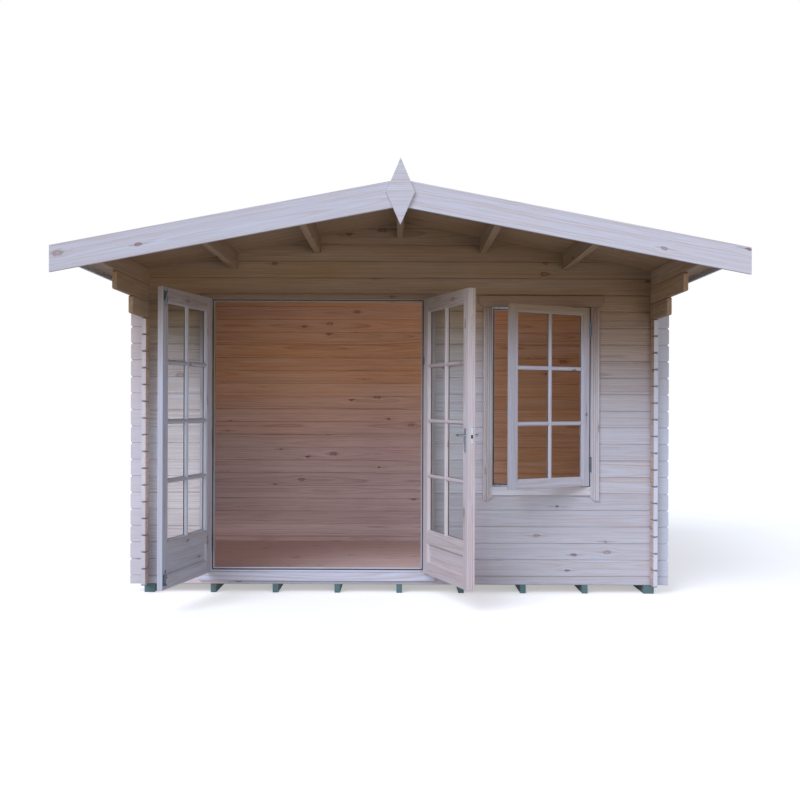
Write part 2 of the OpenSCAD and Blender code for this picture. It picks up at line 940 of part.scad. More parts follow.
module door_handle() {
    outer = knuckle_r - plate_t - 2 * seat_gap;
    inner = leaf_in_y + plate_t + 2 * seat_gap;
    reach = lever_reach - plate_t;
    color(metal) on_right() translate([handle_u, 0, handle_z]) {
        translate([0, inner + reach, 0]) rotate([90, 0, 0])
            cylinder(r = spindle_r, h = inner - outer + 2 * reach);
        translate([0, inner + reach, 0]) rotate([90, 0, 0]) cylinder(r = neck_r, h = reach);
        translate([0, outer, 0]) rotate([90, 0, 0]) cylinder(r = neck_r, h = reach);
        for (y = [outer - reach, inner + reach])
            translate([neck_r, y, 0]) rotate([0, -90, 0])
                cylinder(r = lever_r, h = lever_len + neck_r);
    }
}

module bolt_plates() {
    y = leaf_in_y + seat_gap;
    guide_y = leaf_in_y + bolt_off + bolt_r + bolt_guide_t;
    color(metal) on_left()
        for (high = [bolt_top_z, bolt_low_z + bolt_plate_h])
            difference() {
                union() {
                    block(
                        [bolt_u - bolt_plate_w / 2, y, high - bolt_plate_h],
                        [bolt_u + bolt_plate_w / 2, y + bolt_plate_t, high]
                    );
                    for (z = [high - bolt_guide_h, high - bolt_plate_h])
                        block(
                            [bolt_u - bolt_guide_w / 2, y, z],
                            [bolt_u + bolt_guide_w / 2, guide_y, z + bolt_guide_h]
                        );
                }
                translate([bolt_u, leaf_in_y + bolt_off, 0])
                    cylinder(r = bolt_r + pin_gap, h = leaf_h);
            }
}

// A bolt's rod and its knob, with the rod's lower end at z
module bolt_rod(z, knob_z) {
    translate([bolt_u, leaf_in_y + bolt_off, z]) cylinder(r = bolt_r, h = bolt_len);
    translate([bolt_u, leaf_in_y + bolt_off + knob_len, knob_z]) rotate([90, 0, 0])
        cylinder(r = knob_r, h = knob_len);
}

module top_bolt() {
    color(metal) on_left() bolt_rod(bolt_top_z - bolt_len, bolt_top_z - knob_inset);
}

module bottom_bolt() {
    color(metal) on_left() bolt_rod(bolt_low_z, bolt_low_z + knob_inset);
}

bearers();
floor();
front_sill_log();
front_wall_left();
front_wall_middle();
front_wall_under_window();
front_wall_right();
front_gable();
back_wall();
left_wall();
right_wall();
left_corbels();
right_corbels();
purlins();
roof_boards_left();
roof_boards_right();
roof_felt();
front_bargeboards();
back_bargeboards();
finial();
eave_trims();
door_jamb_left();
door_jamb_right();
door_head();
door_threshold();
window_frame();
window_casing();
window_sash();
window_glass();
window_hinges();
left_leaf();
left_panel();
left_glass();
left_hinges();
right_leaf();
right_panel();
right_glass();
right_hinges();
cover_strip();
hinge_pins();
handle_plates();
door_handle();
bolt_plates();
top_bolt();
bottom_bolt();
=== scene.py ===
import json
import math
import random

import bmesh
import bpy
from mathutils import Matrix, Vector


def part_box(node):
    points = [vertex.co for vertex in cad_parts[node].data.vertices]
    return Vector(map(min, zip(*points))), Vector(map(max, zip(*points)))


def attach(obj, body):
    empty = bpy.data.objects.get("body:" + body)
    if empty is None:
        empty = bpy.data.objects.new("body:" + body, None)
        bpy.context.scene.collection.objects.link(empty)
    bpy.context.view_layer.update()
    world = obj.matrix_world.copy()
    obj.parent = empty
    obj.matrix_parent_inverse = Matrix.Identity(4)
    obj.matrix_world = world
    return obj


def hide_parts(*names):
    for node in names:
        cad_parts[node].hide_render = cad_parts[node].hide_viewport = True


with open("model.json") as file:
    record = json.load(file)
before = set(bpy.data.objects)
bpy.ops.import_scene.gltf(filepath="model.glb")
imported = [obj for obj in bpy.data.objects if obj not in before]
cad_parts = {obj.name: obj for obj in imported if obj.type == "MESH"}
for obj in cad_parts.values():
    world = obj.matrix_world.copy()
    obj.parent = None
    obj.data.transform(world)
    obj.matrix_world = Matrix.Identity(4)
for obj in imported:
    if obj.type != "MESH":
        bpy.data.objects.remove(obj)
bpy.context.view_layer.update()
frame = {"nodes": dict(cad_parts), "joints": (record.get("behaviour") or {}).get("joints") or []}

# ---------------------------------------------------------------- Front wall
# Planed pine logs, 28 mm thick, stacked on a half log and notched over the side
# walls. Each log comes from its own tree, so its rings, knots and tone differ.


def linear(code):
    """A scene colour from an sRGB hex code."""
    parts = [int(code[i:i + 2], 16) / 255 for i in (1, 3, 5)]
    return (*[p / 12.92 if p <= 0.04045 else ((p + 0.055) / 1.055) ** 2.4 for p in parts], 1.0)


def feed(tree, node, ins):
    """Sets a node's inputs, by name or number, or the first ones in order.

    Each takes a value, an output, or a node, which stands for its first output.
    """
    for key, value in (ins if isinstance(ins, dict) else dict(enumerate(ins))).items():
        value = value.outputs[0] if isinstance(value, bpy.types.Node) else value
        if isinstance(value, bpy.types.NodeSocket):
            tree.links.new(value, node.inputs[key])
        else:
            node.inputs[key].default_value = value


def add(tree, kind, ins=(), operation=None, **settings):
    """Adds a node with its settings and inputs. A kind given without its family is a shader's."""
    made = tree.nodes.new(kind if "Node" in kind else "ShaderNode" + kind)
    if operation:
        made.operation = operation
    for key, value in settings.items():
        setattr(made, key, value)
    feed(tree, made, ins)
    return made


def surface(name):
    """A new material, with its tree and its shader."""
    made = bpy.data.materials.new(name)
    made.use_nodes = True
    return made, made.node_tree, made.node_tree.nodes["Principled BSDF"]


def pine(name, room, lit_by_doorway, sheltered_and_shaded, bleached_and_lit, leaf_shading_tones=(), knot_share=0.11, shelter=(1.94, 1.02)):
    """Pine sawn and planed: pale early wood, darker late wood and knots. Each tone is that pair of colours.

    The room keeps the fresh tone, but low down by the doorway it is drawn paler, painted light from the doorway.
    The overhang shelters the wood under it, from the first height of shelter down to the second, and light and
    rain bleach the rest; the sheltered tones are also painted shade of the overhang, and the bleached ones
    painted daylight. Next to the doorway the wood is drawn less bleached, painted light and shadow of the open
    leaves, and the last pairs give the tones to its left and to its right.
    """
    soft, blend = {"interpolation_type": "SMOOTHSTEP"}, {"data_type": "RGBA"}
    made, tree, shader = surface(name)
    grain = add(tree, "Attribute", attribute_name="grain").outputs["Vector"]
    tone = add(tree, "Attribute", attribute_name="tone").outputs["Fac"]

    # Knots, 25 to 70 mm long and half as high. Few of the cells hold one
    parts = add(tree, "SeparateXYZ", (grain,))
    across = add(tree, "Math", (parts.outputs["Y"], parts.outputs["Z"]), "ADD")
    cells = add(tree, "CombineXYZ", {"X": parts.outputs["X"], "Y": across})
    cells = add(tree, "VectorMath", (cells, (4.4, 10.0, 0.0)), "MULTIPLY")
    knots = add(tree, "TexVoronoi", {"Vector": cells, "Scale": 1.0, "Randomness": 0.7}, voronoi_dimensions="2D")
    chance = add(tree, "SeparateColor", {0: knots.outputs["Color"]})
    held = add(tree, "Math", (chance.outputs["Red"], knot_share), "LESS_THAN")
    reach = add(tree, "MapRange", {"Value": chance.outputs["Green"], "To Min": 0.045, "To Max": 0.13})
    ragged = add(tree, "TexNoise", {"Vector": cells, "Scale": 7.0, "Detail": 3.0})
    ragged = add(tree, "MapRange", {"Value": ragged, "To Min": -0.09, "To Max": 0.09})
    away = add(tree, "Math", (knots.outputs["Distance"], ragged), "ADD")
    shares = add(tree, "Math", (away, reach), "DIVIDE")
    rim = add(tree, "MapRange", {"Value": shares, "From Min": 1.5, "From Max": 0.75}, **soft)
    paler = add(tree, "MapRange", {"Value": reach, "From Min": 0.07, "From Max": 0.12, "To Max": 0.5})
    heartwood = add(tree, "MapRange", {"Value": shares, "From Min": 0.95, "From Max": 0.2, "To Max": paler}, **soft)
    spot = add(tree, "Math", (rim, heartwood), "SUBTRACT")
    off = add(tree, "VectorMath", (cells, knots.outputs["Position"]), "SUBTRACT")
    sides = add(tree, "VectorMath", (off,), "ABSOLUTE")
    sides = add(tree, "SeparateXYZ", (sides,))
    thin = add(tree, "MapRange", {"Value": sides.outputs["Y"], "From Min": 0.07, "From Max": 0.0}, **soft)
    tail = add(tree, "MapRange", {"Value": sides.outputs["X"], "From Min": 0.5, "From Max": 0.08, "To Max": 0.5},
               **soft)
    tail = add(tree, "Math", (thin, tail), "MULTIPLY")
    spot = add(tree, "Math", (spot, tail), "MAXIMUM")
    depth = add(tree, "MapRange", {"Value": chance.outputs["Blue"], "To Min": 0.65, "To Max": 1.0})
    held = add(tree, "Math", (held, depth), "MULTIPLY")
    spot = add(tree, "Math", (spot, held), "MULTIPLY")

    # The fibre parts round a knot, as water does round a stone
    near = add(tree, "Math", (reach, 1.9), "MULTIPLY")
    parting = add(tree, "Math", (near, knots.outputs["Distance"]), "DIVIDE")
    parting = add(tree, "Math", (parting, 1.0), "MINIMUM")
    parting = add(tree, "Math", (parting, 2.0), "POWER")
    fade = add(tree, "MapRange", {"Value": knots.outputs["Distance"], "From Min": 0.6, "From Max": 0.35,
                                  "To Max": 0.1}, **soft)
    for mask in (fade, held):
        parting = add(tree, "Math", (parting, mask), "MULTIPLY")
    aside = add(tree, "VectorMath", (off, (0.0, 1.0, 0.0)), "MULTIPLY")
    aside = add(tree, "VectorMath", {0: aside, "Scale": parting}, "SCALE")
    flow = add(tree, "VectorMath", (grain, aside), "SUBTRACT")

    # Rings about the tree's heart, which wanders along the log. Real ones are 2 to 4 mm apart
    # and wouldn't show, so these are 9 mm, with bands of slow and fast years about 30 mm wide
    heart = add(tree, "VectorMath", (flow, (0.0, 1.0, 1.0)), "MULTIPLY")
    heart = add(tree, "VectorMath", (heart,), "LENGTH").outputs["Value"]
    path = add(tree, "VectorMath", (flow, (0.8, 4.0, 4.0)), "MULTIPLY")
    wander = add(tree, "TexNoise", {"Vector": path, "Scale": 1.0, "Detail": 2.0, "Roughness": 0.45})
    ring = add(tree, "Math", (wander, 0.05, heart), "MULTIPLY_ADD")
    year = add(tree, "Math", (ring, 1 / 0.009), "MULTIPLY")
    year = add(tree, "Math", (year,), "FRACT")
    late = add(tree, "MapRange", {"Value": year, "From Min": 0.35, "From Max": 0.9}, **soft)
    drop = add(tree, "MapRange", {"Value": year, "From Min": 1.0, "From Max": 0.9})
    late = add(tree, "Math", (late, drop), "MULTIPLY")
    growth = add(tree, "Math", (ring, 60.0), "MULTIPLY")
    growth = add(tree, "TexNoise", {"W": growth, "Scale": 1.0, "Detail": 3.0, "Roughness": 0.65},
                 noise_dimensions="1D")
    growth = add(tree, "MapRange", {"Value": growth, "From Min": 0.45, "From Max": 0.78}, **soft)
    thread = add(tree, "VectorMath", (flow, (4.0, 190.0, 190.0)), "MULTIPLY")
    fibre = add(tree, "TexNoise", {"Vector": thread, "Scale": 1.0, "Detail": 3.0, "Roughness": 0.65})
    fibre = add(tree, "MapRange", {"Value": fibre, "From Min": 0.35, "From Max": 0.7})
    shade = add(tree, "Math", (late, 0.25), "MULTIPLY")
    for part, share in ((growth, 0.6), (fibre, 0.4)):
        shade = add(tree, "Math", (part, share, shade), "MULTIPLY_ADD")

    # What stands low, past the walls or at the eaves is in the open, and the room is not. The side walls'
    # middles are 1.69 m out and the other walls' 1.04 m, and the logs end 0.11 m past those
    place = add(tree, "TexCoord").outputs["Object"]
    size = add(tree, "VectorMath", (place,), "ABSOLUTE")
    size = add(tree, "SeparateXYZ", (size,))
    stand = add(tree, "SeparateXYZ", (place,))
    limits = {"right": (stand, "X", "GREATER_THAN", 0.0), "forward": (stand, "Y", "LESS_THAN", -2.2),
              "behind": (stand, "Y", "GREATER_THAN", 1.2), "facade": (stand, "Y", "LESS_THAN", -1.04),
              "under": (stand, "Z", "LESS_THAN", 1.97), "eaves": (size, "X", "GREATER_THAN", 1.925),
              "wide": (size, "X", "LESS_THAN", 1.684), "end": (size, "X", "GREATER_THAN", 1.7005),
              "corner": (size, "X", "GREATER_THAN", 1.6), "side": (size, "X", "COMPARE", 1.672, 0.003),
              "deep": (size, "Y", "LESS_THAN", 1.034), "tip": (size, "Y", "COMPARE", 1.145, 0.004),
              "out": (size, "Y", "GREATER_THAN", 1.0504), "past_wall": (size, "Y", "GREATER_THAN", 1.056)}
    on = {name: add(tree, "Math", (where.outputs[axis], *values), test)
          for name, (where, axis, test, *values) in limits.items()}
    # Sheltered wood under the overhang takes the darker tones, weathering and painted shade of the overhang; the wood
    # in the open takes the bleached ones, weathering and painted daylight
    low = add(tree, "MapRange", {"Value": stand.outputs["Z"], "From Min": shelter[0], "From Max": shelter[1]}, **soft)
    open_and_lit = low
    for mask in (on["forward"], on["behind"], on["eaves"]):
        open_and_lit = add(tree, "Math", (open_and_lit, mask), "MAXIMUM")
    indoors = add(tree, "Math", (on["deep"], on["wide"]), "MULTIPLY")
    # Painted light from the doorway: low in the room and near the doorway the wood takes the paler tone
    by_floor = add(tree, "MapRange", {"Value": stand.outputs["Z"], "From Min": 1.65, "From Max": 0.55}, **soft)
    by_door = add(tree, "MapRange", {"Value": stand.outputs["X"], "From Min": 1.1, "From Max": 0.3}, **soft)
    daylight = add(tree, "Math", (by_floor, by_door), "MULTIPLY")

    tones = [add(tree, "Mix", {0: shade, 6: linear(early), 7: linear(late_wood)}, **blend).outputs[2]
             for early, late_wood in (room, lit_by_doorway, sheltered_and_shaded, bleached_and_lit, *leaf_shading_tones)]
    inside = add(tree, "Mix", {0: daylight, 6: tones[0], 7: tones[1]}, **blend).outputs[2]
    wood = add(tree, "Mix", {0: open_and_lit, 6: tones[2], 7: tones[3]}, **blend).outputs[2]
    if leaf_shading_tones:
        # Painted light and shadow of the open leaves: the wall beside them is drawn in its own tones, up to 1.1 m
        # from X = -0.5, near the doorway's middle. Nearer than 0.64 m stand only the leaves and the door frame
        off = add(tree, "Math", (stand.outputs["X"], 0.5), "ADD")
        off = add(tree, "Math", (off,), "ABSOLUTE")
        leaf_shading = add(tree, "MapRange", {"Value": off, "From Min": 1.14, "From Max": 1.05}, **soft)
        passed = add(tree, "Math", (off, 0.64), "GREATER_THAN")
        for mask in (passed, on["facade"], low):
            leaf_shading = add(tree, "Math", (leaf_shading, mask), "MULTIPLY")
        near = add(tree, "Mix", {0: on["right"], 6: tones[4], 7: tones[5]}, **blend).outputs[2]
        wood = add(tree, "Mix", {0: leaf_shading, 6: wood, 7: near}, **blend).outputs[2]
    # Painted light: past the corners, out of the overhang's shade, the log ends are drawn palest, warmer on the left
    # and cooler on the right, but for the inner sides of the side logs
    tip = add(tree, "Math", (on["tip"], on["corner"]), "MULTIPLY")
    end = add(tree, "Math", (on["end"], tip), "MAXIMUM")
    for mask in (on["under"], 0.6):
        end = add(tree, "Math", (end, mask), "MULTIPLY")
    lit_end_colour = add(tree, "Mix", {0: on["right"], 6: linear("#efe5e6"), 7: linear("#e4ebfa")}, **blend).outputs[2]
    wood = add(tree, "Mix", {0: end, 6: wood, 7: lit_end_colour}, **blend).outputs[2]
    # Painted shade: the inner sides of the side logs' ends, shaded past the wall, take part of the room's warm tone
    side = on["side"]
    for mask in (on["out"], on["under"], 0.45):
        side = add(tree, "Math", (side, mask), "MULTIPLY")
    wood = add(tree, "Mix", {0: side, 6: wood, 7: tones[0]}, **blend).outputs[2]
    wood = add(tree, "Mix", {0: indoors, 6: wood, 7: inside}, **blend).outputs[2]
    value = add(tree, "MapRange", {"Value": tone, "To Min": 0.96, "To Max": 1.04})
    # Wood farther from the doorway's light is drawn darker
    room_shade = add(tree, "MapRange", {"Value": stand.outputs["X"], "From Min": -0.2, "From Max": -1.6, "To Max": 0.27})
    above = add(tree, "MapRange", {"Value": stand.outputs["Z"], "From Min": 0.15, "From Max": 0.35})
    for mask in (above, indoors):
        room_shade = add(tree, "Math", (room_shade, mask), "MULTIPLY")
    room_shade = add(tree, "Math", (1.0, room_shade), "SUBTRACT")
    value = add(tree, "Math", (value, room_shade), "MULTIPLY")
    drift = add(tree, "VectorMath", (flow, (0.9, 9.0, 9.0)), "MULTIPLY")
    drift = add(tree, "TexNoise", {"Vector": drift, "Scale": 1.0, "Detail": 1.0})
    warmth = add(tree, "MapRange", {"Value": drift, "From Min": 0.3, "From Max": 0.7, "To Min": 0.9, "To Max": 1.1})
    wood = add(tree, "HueSaturation", {"Color": wood, "Value": value, "Saturation": warmth})
    # Knots are drawn darker in the sheltered wood, weathering and painted shade of the overhang
    mark = add(tree, "Mix", {0: open_and_lit, 6: linear("#5e2f1f"), 7: linear("#7d5446")}, **blend).outputs[2]
    mark = add(tree, "Mix", {0: indoors, 6: mark, 7: linear("#713a25")}, **blend).outputs[2]
    # No knot shows on a log's tip, and elsewhere it keeps a little of the wood's own tone
    clear = add(tree, "Math", (0.85, tip), "SUBTRACT", use_clamp=True)
    spot = add(tree, "Math", (spot, clear), "MULTIPLY")
    wood = add(tree, "Mix", {0: spot, 6: wood, 7: mark}, **blend).outputs[2]
    # Dust and shade gather in the joint between two logs, most of all at the ends of the side logs
    joint = add(tree, "Attribute", attribute_name="joint").outputs["Fac"]
    dust_and_shade = add(tree, "MapRange", {"Value": on["past_wall"], "To Min": 0.1, "To Max": 0.85})
    cleaner = add(tree, "MapRange", {"Value": indoors, "To Min": 1.0, "To Max": 0.0})
    for mask in (dust_and_shade, cleaner):
        joint = add(tree, "Math", (joint, mask), "MULTIPLY")
    wood = add(tree, "Mix", {0: joint, 6: wood, 7: linear("#765741")}, **blend).outputs[2]
    rough = add(tree, "MapRange", {"Value": shade, "To Min": 0.74, "To Max": 0.6})
    relief = add(tree, "Math", (fibre, late), "ADD")
    bump = add(tree, "Bump", {"Strength": 0.3, "Distance": 0.0006, "Height": relief})
    feed(tree, shader, {"Base Color": wood, "Roughness": rough, "Normal": bump})
    return made


def boards_in(mesh):
    """The separate boards of a mesh, each as a list of its corners."""
    left = set(mesh.verts)
    while left:
        first = left.pop()
        board, edge = [first], [first]
        while edge:
            near = {e.other_vert(v) for v in edge for e in v.link_edges} & left
            left -= near
            edge = list(near)
            board += edge
        yield board


def run_grain(mesh, seed, turn=None, axis=None, stacked=False):
    """Gives each board its own tree: metres along the fibre, and across it from the tree's heart.

    Stacked logs have their joints marked too, at the corners that lie in a joint.
    """
    grain = mesh.verts.layers.float_vector.new("grain")
    joint = mesh.verts.layers.float.new("joint") if stacked else None
    tone = mesh.verts.layers.float.new("tone")
    boards = sorted(boards_in(mesh), key=lambda b: tuple(round(sum(v.co[i] for v in b) / len(b), 3) for i in (2, 0, 1)))
    tree = random.Random(seed)
    for board in boards:
        side = 1 if sum(v.co.x for v in board) > 0 else -1
        place = [turn(side) @ v.co if turn else v.co for v in board]
        low = [min(p[i] for p in place) for i in range(3)]
        high = [max(p[i] for p in place) for i in range(3)]
        order = sorted(range(3), key=lambda i: high[i] - low[i])
        if axis is not None:
            order.remove(axis)
            order.append(axis)
        thin, wide, long = order
        mid = [(a + b) / 2 for a, b in zip(low, high)]
        start = tree.uniform(0, 30)
        heart = tree.choice((-1, 1)) * (0.5 * (high[thin] - low[thin]) + tree.uniform(0.004, 0.05))
        off = tree.uniform(-0.35, 0.35) * (high[wide] - low[wide])
        shade = tree.random()
        for v, p in zip(board, place):
            v[grain] = (p[long] + start, p[wide] - mid[wide] + off, p[thin] - mid[thin] + heart)
            v[tone] = shade
            if stacked:
                v[joint] = float(v.co.z - low[2] < 0.0002 or high[2] - v.co.z < 0.0002)


def from_frame(node, ease=0.0, steps=1):
    """A mesh of a node's solids, with flat faces made whole and its edges eased."""
    mesh = bmesh.new()
    mesh.from_mesh(frame["nodes"][node].data)
    bmesh.ops.remove_doubles(mesh, verts=mesh.verts, dist=1e-5)
    bmesh.ops.dissolve_limit(mesh, angle_limit=math.radians(0.5), verts=mesh.verts, edges=mesh.edges)
    if ease:
        sharp = [e for e in mesh.edges if len(e.link_faces) == 2 and e.calc_face_angle(0) > math.radians(35)]
        bmesh.ops.bevel(mesh, geom=sharp, offset=ease, segments=steps, profile=0.5, affect="EDGES", clamp_overlap=True)
    for layer in list(mesh.loops.layers.uv):
        mesh.loops.layers.uv.remove(layer)
    return mesh


def finish_piece(mesh, name, material, body, slot, stands_for=()):
    """Turns a mesh into a finished piece that moves with its body."""
    data = bpy.data.meshes.new(name)
    if isinstance(mesh, bmesh.types.BMesh):
        mesh.to_mesh(data)
        mesh.free()
    else:
        data = mesh
        data.name = name
    data.materials.clear()
    data.materials.append(material)
    piece = bpy.data.objects.new(name, data)
    bpy.context.scene.collection.objects.link(piece)
    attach(piece, body)
    if stands_for:
        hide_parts(*stands_for)


def worked(node, seed, wood, ending, ease=0.0, steps=1, body="cabin", slot="pine", **grain):
    """A node's own solids in their wood, with their edges eased and the grain along them."""
    mesh = from_frame(node, ease, steps)
    run_grain(mesh, seed, **grain)
    finish_piece(mesh, node + ending, wood, body, slot, (node,))


log_pine = pine("planed_pine_logs", ("#e6bb96", "#b17a53"), ("#ead9da", "#b4958f"), ("#a4896b", "#6d5239"),
                ("#cfd4e1", "#baa59a"), leaf_shading_tones=(("#e8dfe3", "#c8aa9e"), ("#cfcbd6", "#aca0a2")))
for seed, node in enumerate(("front_sill_log", "front_wall_left", "front_wall_middle", "front_wall_under_window",
                             "front_wall_right", "front_gable")):
    worked(node, 11 + seed, log_pine, "_logs", stacked=True)

# ---------------------------------------------------------------- Other walls
# The same logs. The side walls lie half a log higher, so every corner locks, and
# their three top logs run forward as corbels under the overhang.
# The corbels are drawn all in one sheltered brown: wood kept from the weather, and painted shade of the overhang
corbel_pine = pine("planed_pine_corbels", *[("#b99c7d", "#80644a")] * 4, knot_share=0.08)
for seed, node in enumerate(("back_wall", "left_wall", "right_wall", "left_corbels", "right_corbels")):
    worked(node, 31 + seed, corbel_pine if "corbels" in node else log_pine, "_logs", stacked=True)

# The tongue on each log's top fits the groove of the log over it, in the middle of the
# wall's thickness. Nothing passes the joint. The tongues stop at the openings


def slab(mesh, a, b):
    """A closed box between two corners."""
    size = [q - p for p, q in zip(a, b)]
    mid = [(p + q) / 2 for p, q in zip(a, b)]
    return bmesh.ops.create_cube(mesh, size=1.0, matrix=Matrix.Translation(mid) @ Matrix.Diagonal((*size, 1)))["verts"]


def tongues(nodes, axis, first_seam, seed):
    """Strips across the joints of the logs in these nodes, which lie along the axis."""
    mesh = bmesh.new()
    for node in nodes:
        low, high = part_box(node)
        mid = (low[1 - axis] + high[1 - axis]) / 2
        seam = first_seam
        while seam < high[2] + 0.001:
            if seam > low[2] - 0.001:
                start = max(low[axis], -room[axis])
                end = min(high[axis], room[axis], (wall_peak - seam) / roof_fall if axis == 0 else room[1])
                if axis == 0:
                    start = max(start, -(wall_peak - seam) / roof_fall)
                a, b = [0, 0, seam - tongue_h / 2], [0, 0, seam + tongue_h / 2]
                a[axis], b[axis] = start + 0.0005, end - 0.0005
                a[1 - axis], b[1 - axis] = mid - tongue_t / 2, mid + tongue_t / 2
                slab(mesh, a, b)
            seam += log_pitch
    run_grain(mesh, seed)
    finish_piece(mesh, nodes[0] + "_tongues", log_pine, "cabin", "pine")


log_pitch, tongue_h, tongue_t = 0.1105, 0.024, 0.008
roof_fall = math.tan(math.radians(10.8))
wall_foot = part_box("left_wall")[0][2]
wall_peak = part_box("back_wall")[1][2] - 0.02
room = (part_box("right_wall")[0][0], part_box("back_wall")[0][1])
tongues(("front_wall_left", "front_wall_middle", "front_wall_under_window", "front_wall_right", "front_gable"),
        0, wall_foot + log_pitch / 2, 41)
tongues(("back_wall",), 0, wall_foot + log_pitch / 2, 42)
tongues(("left_wall",), 1, wall_foot + log_pitch, 43)
tongues(("right_wall",), 1, wall_foot + log_pitch, 44)

# ---------------------------------------------------------------- Bearers
# Square softwood bearers from front to back, pressure treated to a grey-green.
# The walls stand on them, clear of the ground.
treated = pine("treated_bearer", *[("#6b8789", "#4a6668")] * 4, knot_share=0.05)
worked("bearers", 5, treated, "_treated", 0.002, slot="treated_timber")

# ---------------------------------------------------------------- Floor
# Tongued and grooved pine boards across the bearers, with an eased joint between
# neighbours. They lie inside the walls.


def board(length, width, thick, ease, up):
    """One board from X = 0, its two upper or lower long edges eased."""
    mesh = bmesh.new()
    bmesh.ops.create_cube(mesh, size=1.0, matrix=Matrix.Translation((length / 2, 0, thick / 2))
                          @ Matrix.Diagonal((length, width, thick, 1)))
    edges = [e for e in mesh.edges if abs(e.verts[0].co.x - e.verts[1].co.x) > length / 2
             and (e.verts[0].co.z > thick / 2) == up]
    bmesh.ops.bevel(mesh, geom=edges, offset=ease, segments=1, profile=0.5, affect="EDGES")
    run_grain(mesh, 1)
    data = bpy.data.meshes.new("board")
    mesh.to_mesh(data)
    mesh.free()
    return data


def maker(name, **inputs):
    """A tree of geometry nodes with named inputs and one output, and the node that gives the inputs."""
    tree = bpy.data.node_groups.new(name, "GeometryNodeTree")
    for label, kind in inputs.items():
        tree.interface.new_socket(name=label, in_out="INPUT", socket_type="NodeSocket" + kind)
    tree.interface.new_socket(name="Made", in_out="OUTPUT", socket_type="NodeSocketGeometry")
    return tree, add(tree, "NodeGroupInput")


# Lays copies of a board side by side along Y. Each one is from another part of the tree
laid, given = maker("laid_boards", Board="Object", Count="Int", Pitch="Float", Seed="Int", Finish="Material")
step = add(laid, "CombineXYZ", {"Y": given.outputs["Pitch"]})
row = add(laid, "GeometryNodeMeshLine", {"Count": given.outputs["Count"], "Offset": step})
piece = add(laid, "GeometryNodeObjectInfo", {"Object": given.outputs["Board"]})
copies = add(laid, "GeometryNodeInstanceOnPoints", {"Points": row, "Instance": piece.outputs["Geometry"]})
start = add(laid, "FunctionNodeRandomValue", {0: (0.0, -0.03, -0.01), 1: (40.0, 0.03, 0.02),
                                              "Seed": given.outputs["Seed"]}, data_type="FLOAT_VECTOR")
shade = add(laid, "FunctionNodeRandomValue", {"Seed": given.outputs["Seed"]}, data_type="FLOAT")
for name, value, kind in (("start", start, "FLOAT_VECTOR"), ("shade", shade.outputs[1], "FLOAT")):
    copies = add(laid, "GeometryNodeStoreNamedAttribute", {"Geometry": copies, "Name": name, "Value": value},
                 data_type=kind, domain="INSTANCE")
run = add(laid, "GeometryNodeRealizeInstances", (copies,))
own, start, shade = [add(laid, "GeometryNodeInputNamedAttribute", {"Name": name}, data_type=kind) for name, kind in
                     (("grain", "FLOAT_VECTOR"), ("start", "FLOAT_VECTOR"), ("shade", "FLOAT"))]
total = add(laid, "VectorMath", (own, start), "ADD")
for name, value, kind in (("grain", total, "FLOAT_VECTOR"), ("tone", shade, "FLOAT")):
    run = add(laid, "GeometryNodeStoreNamedAttribute", {"Geometry": run, "Name": name, "Value": value},
              data_type=kind, domain="POINT")
done = add(laid, "GeometryNodeSetMaterial", {"Geometry": run, "Material": given.outputs["Finish"]})
add(laid, "NodeGroupOutput", (done,))


def grown(tree, name, values, points=()):
    """The plain mesh that a tree of geometry nodes makes with these inputs."""
    data = bpy.data.meshes.new(name)
    data.from_pydata(list(points), [], [])
    thing = bpy.data.objects.new(name, data)
    bpy.context.scene.collection.objects.link(thing)
    made_by = thing.modifiers.new("maker", "NODES")
    made_by.node_group = tree
    for item in tree.interface.items_tree:
        if item.in_out == "INPUT" and item.name in values:
            made_by[item.identifier] = values[item.name]
    mesh = bpy.data.meshes.new_from_object(thing.evaluated_get(bpy.context.evaluated_depsgraph_get()))
    bpy.data.objects.remove(thing)
    return mesh


def laid_boards(name, shape, count, pitch, seed, finish):
    """A run of boards, with a pattern board that exists only while they are laid."""
    pattern = bpy.data.objects.new(name, shape)
    mesh = grown(laid, name, {"Board": pattern, "Count": count, "Pitch": pitch, "Seed": seed, "Finish": finish})
    bpy.data.objects.remove(pattern)
    return mesh


low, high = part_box("floor")
floor_boards, board_gap = 18, 0.0006
floor_pitch = (high[1] - low[1]) / floor_boards
shape = board(high[0] - low[0], floor_pitch - board_gap, high[2] - low[2], 0.0015, True)
floor_pine = pine("floor_pine", *[("#f3e0de", "#bb958e")] * 4, knot_share=0.2)
mesh = laid_boards("floor_boards", shape, floor_boards, floor_pitch, 4, floor_pine)
mesh.transform(Matrix.Translation((low[0], low[1] + floor_pitch / 2, low[2])))
finish_piece(mesh, "floor_boards", floor_pine, "cabin", "pine", ("floor",))

# ---------------------------------------------------------------- Roof boards
# Tongued and grooved boards, 19 mm thick, nailed across the purlins from the ridge
# to the eave. Their joints show from below as a fine V.


def posed(place, angle, axis):
    """Turns a piece about an axis and then moves it to its place."""
    return Matrix.Translation(place) @ Matrix.Rotation(angle, 4, axis)


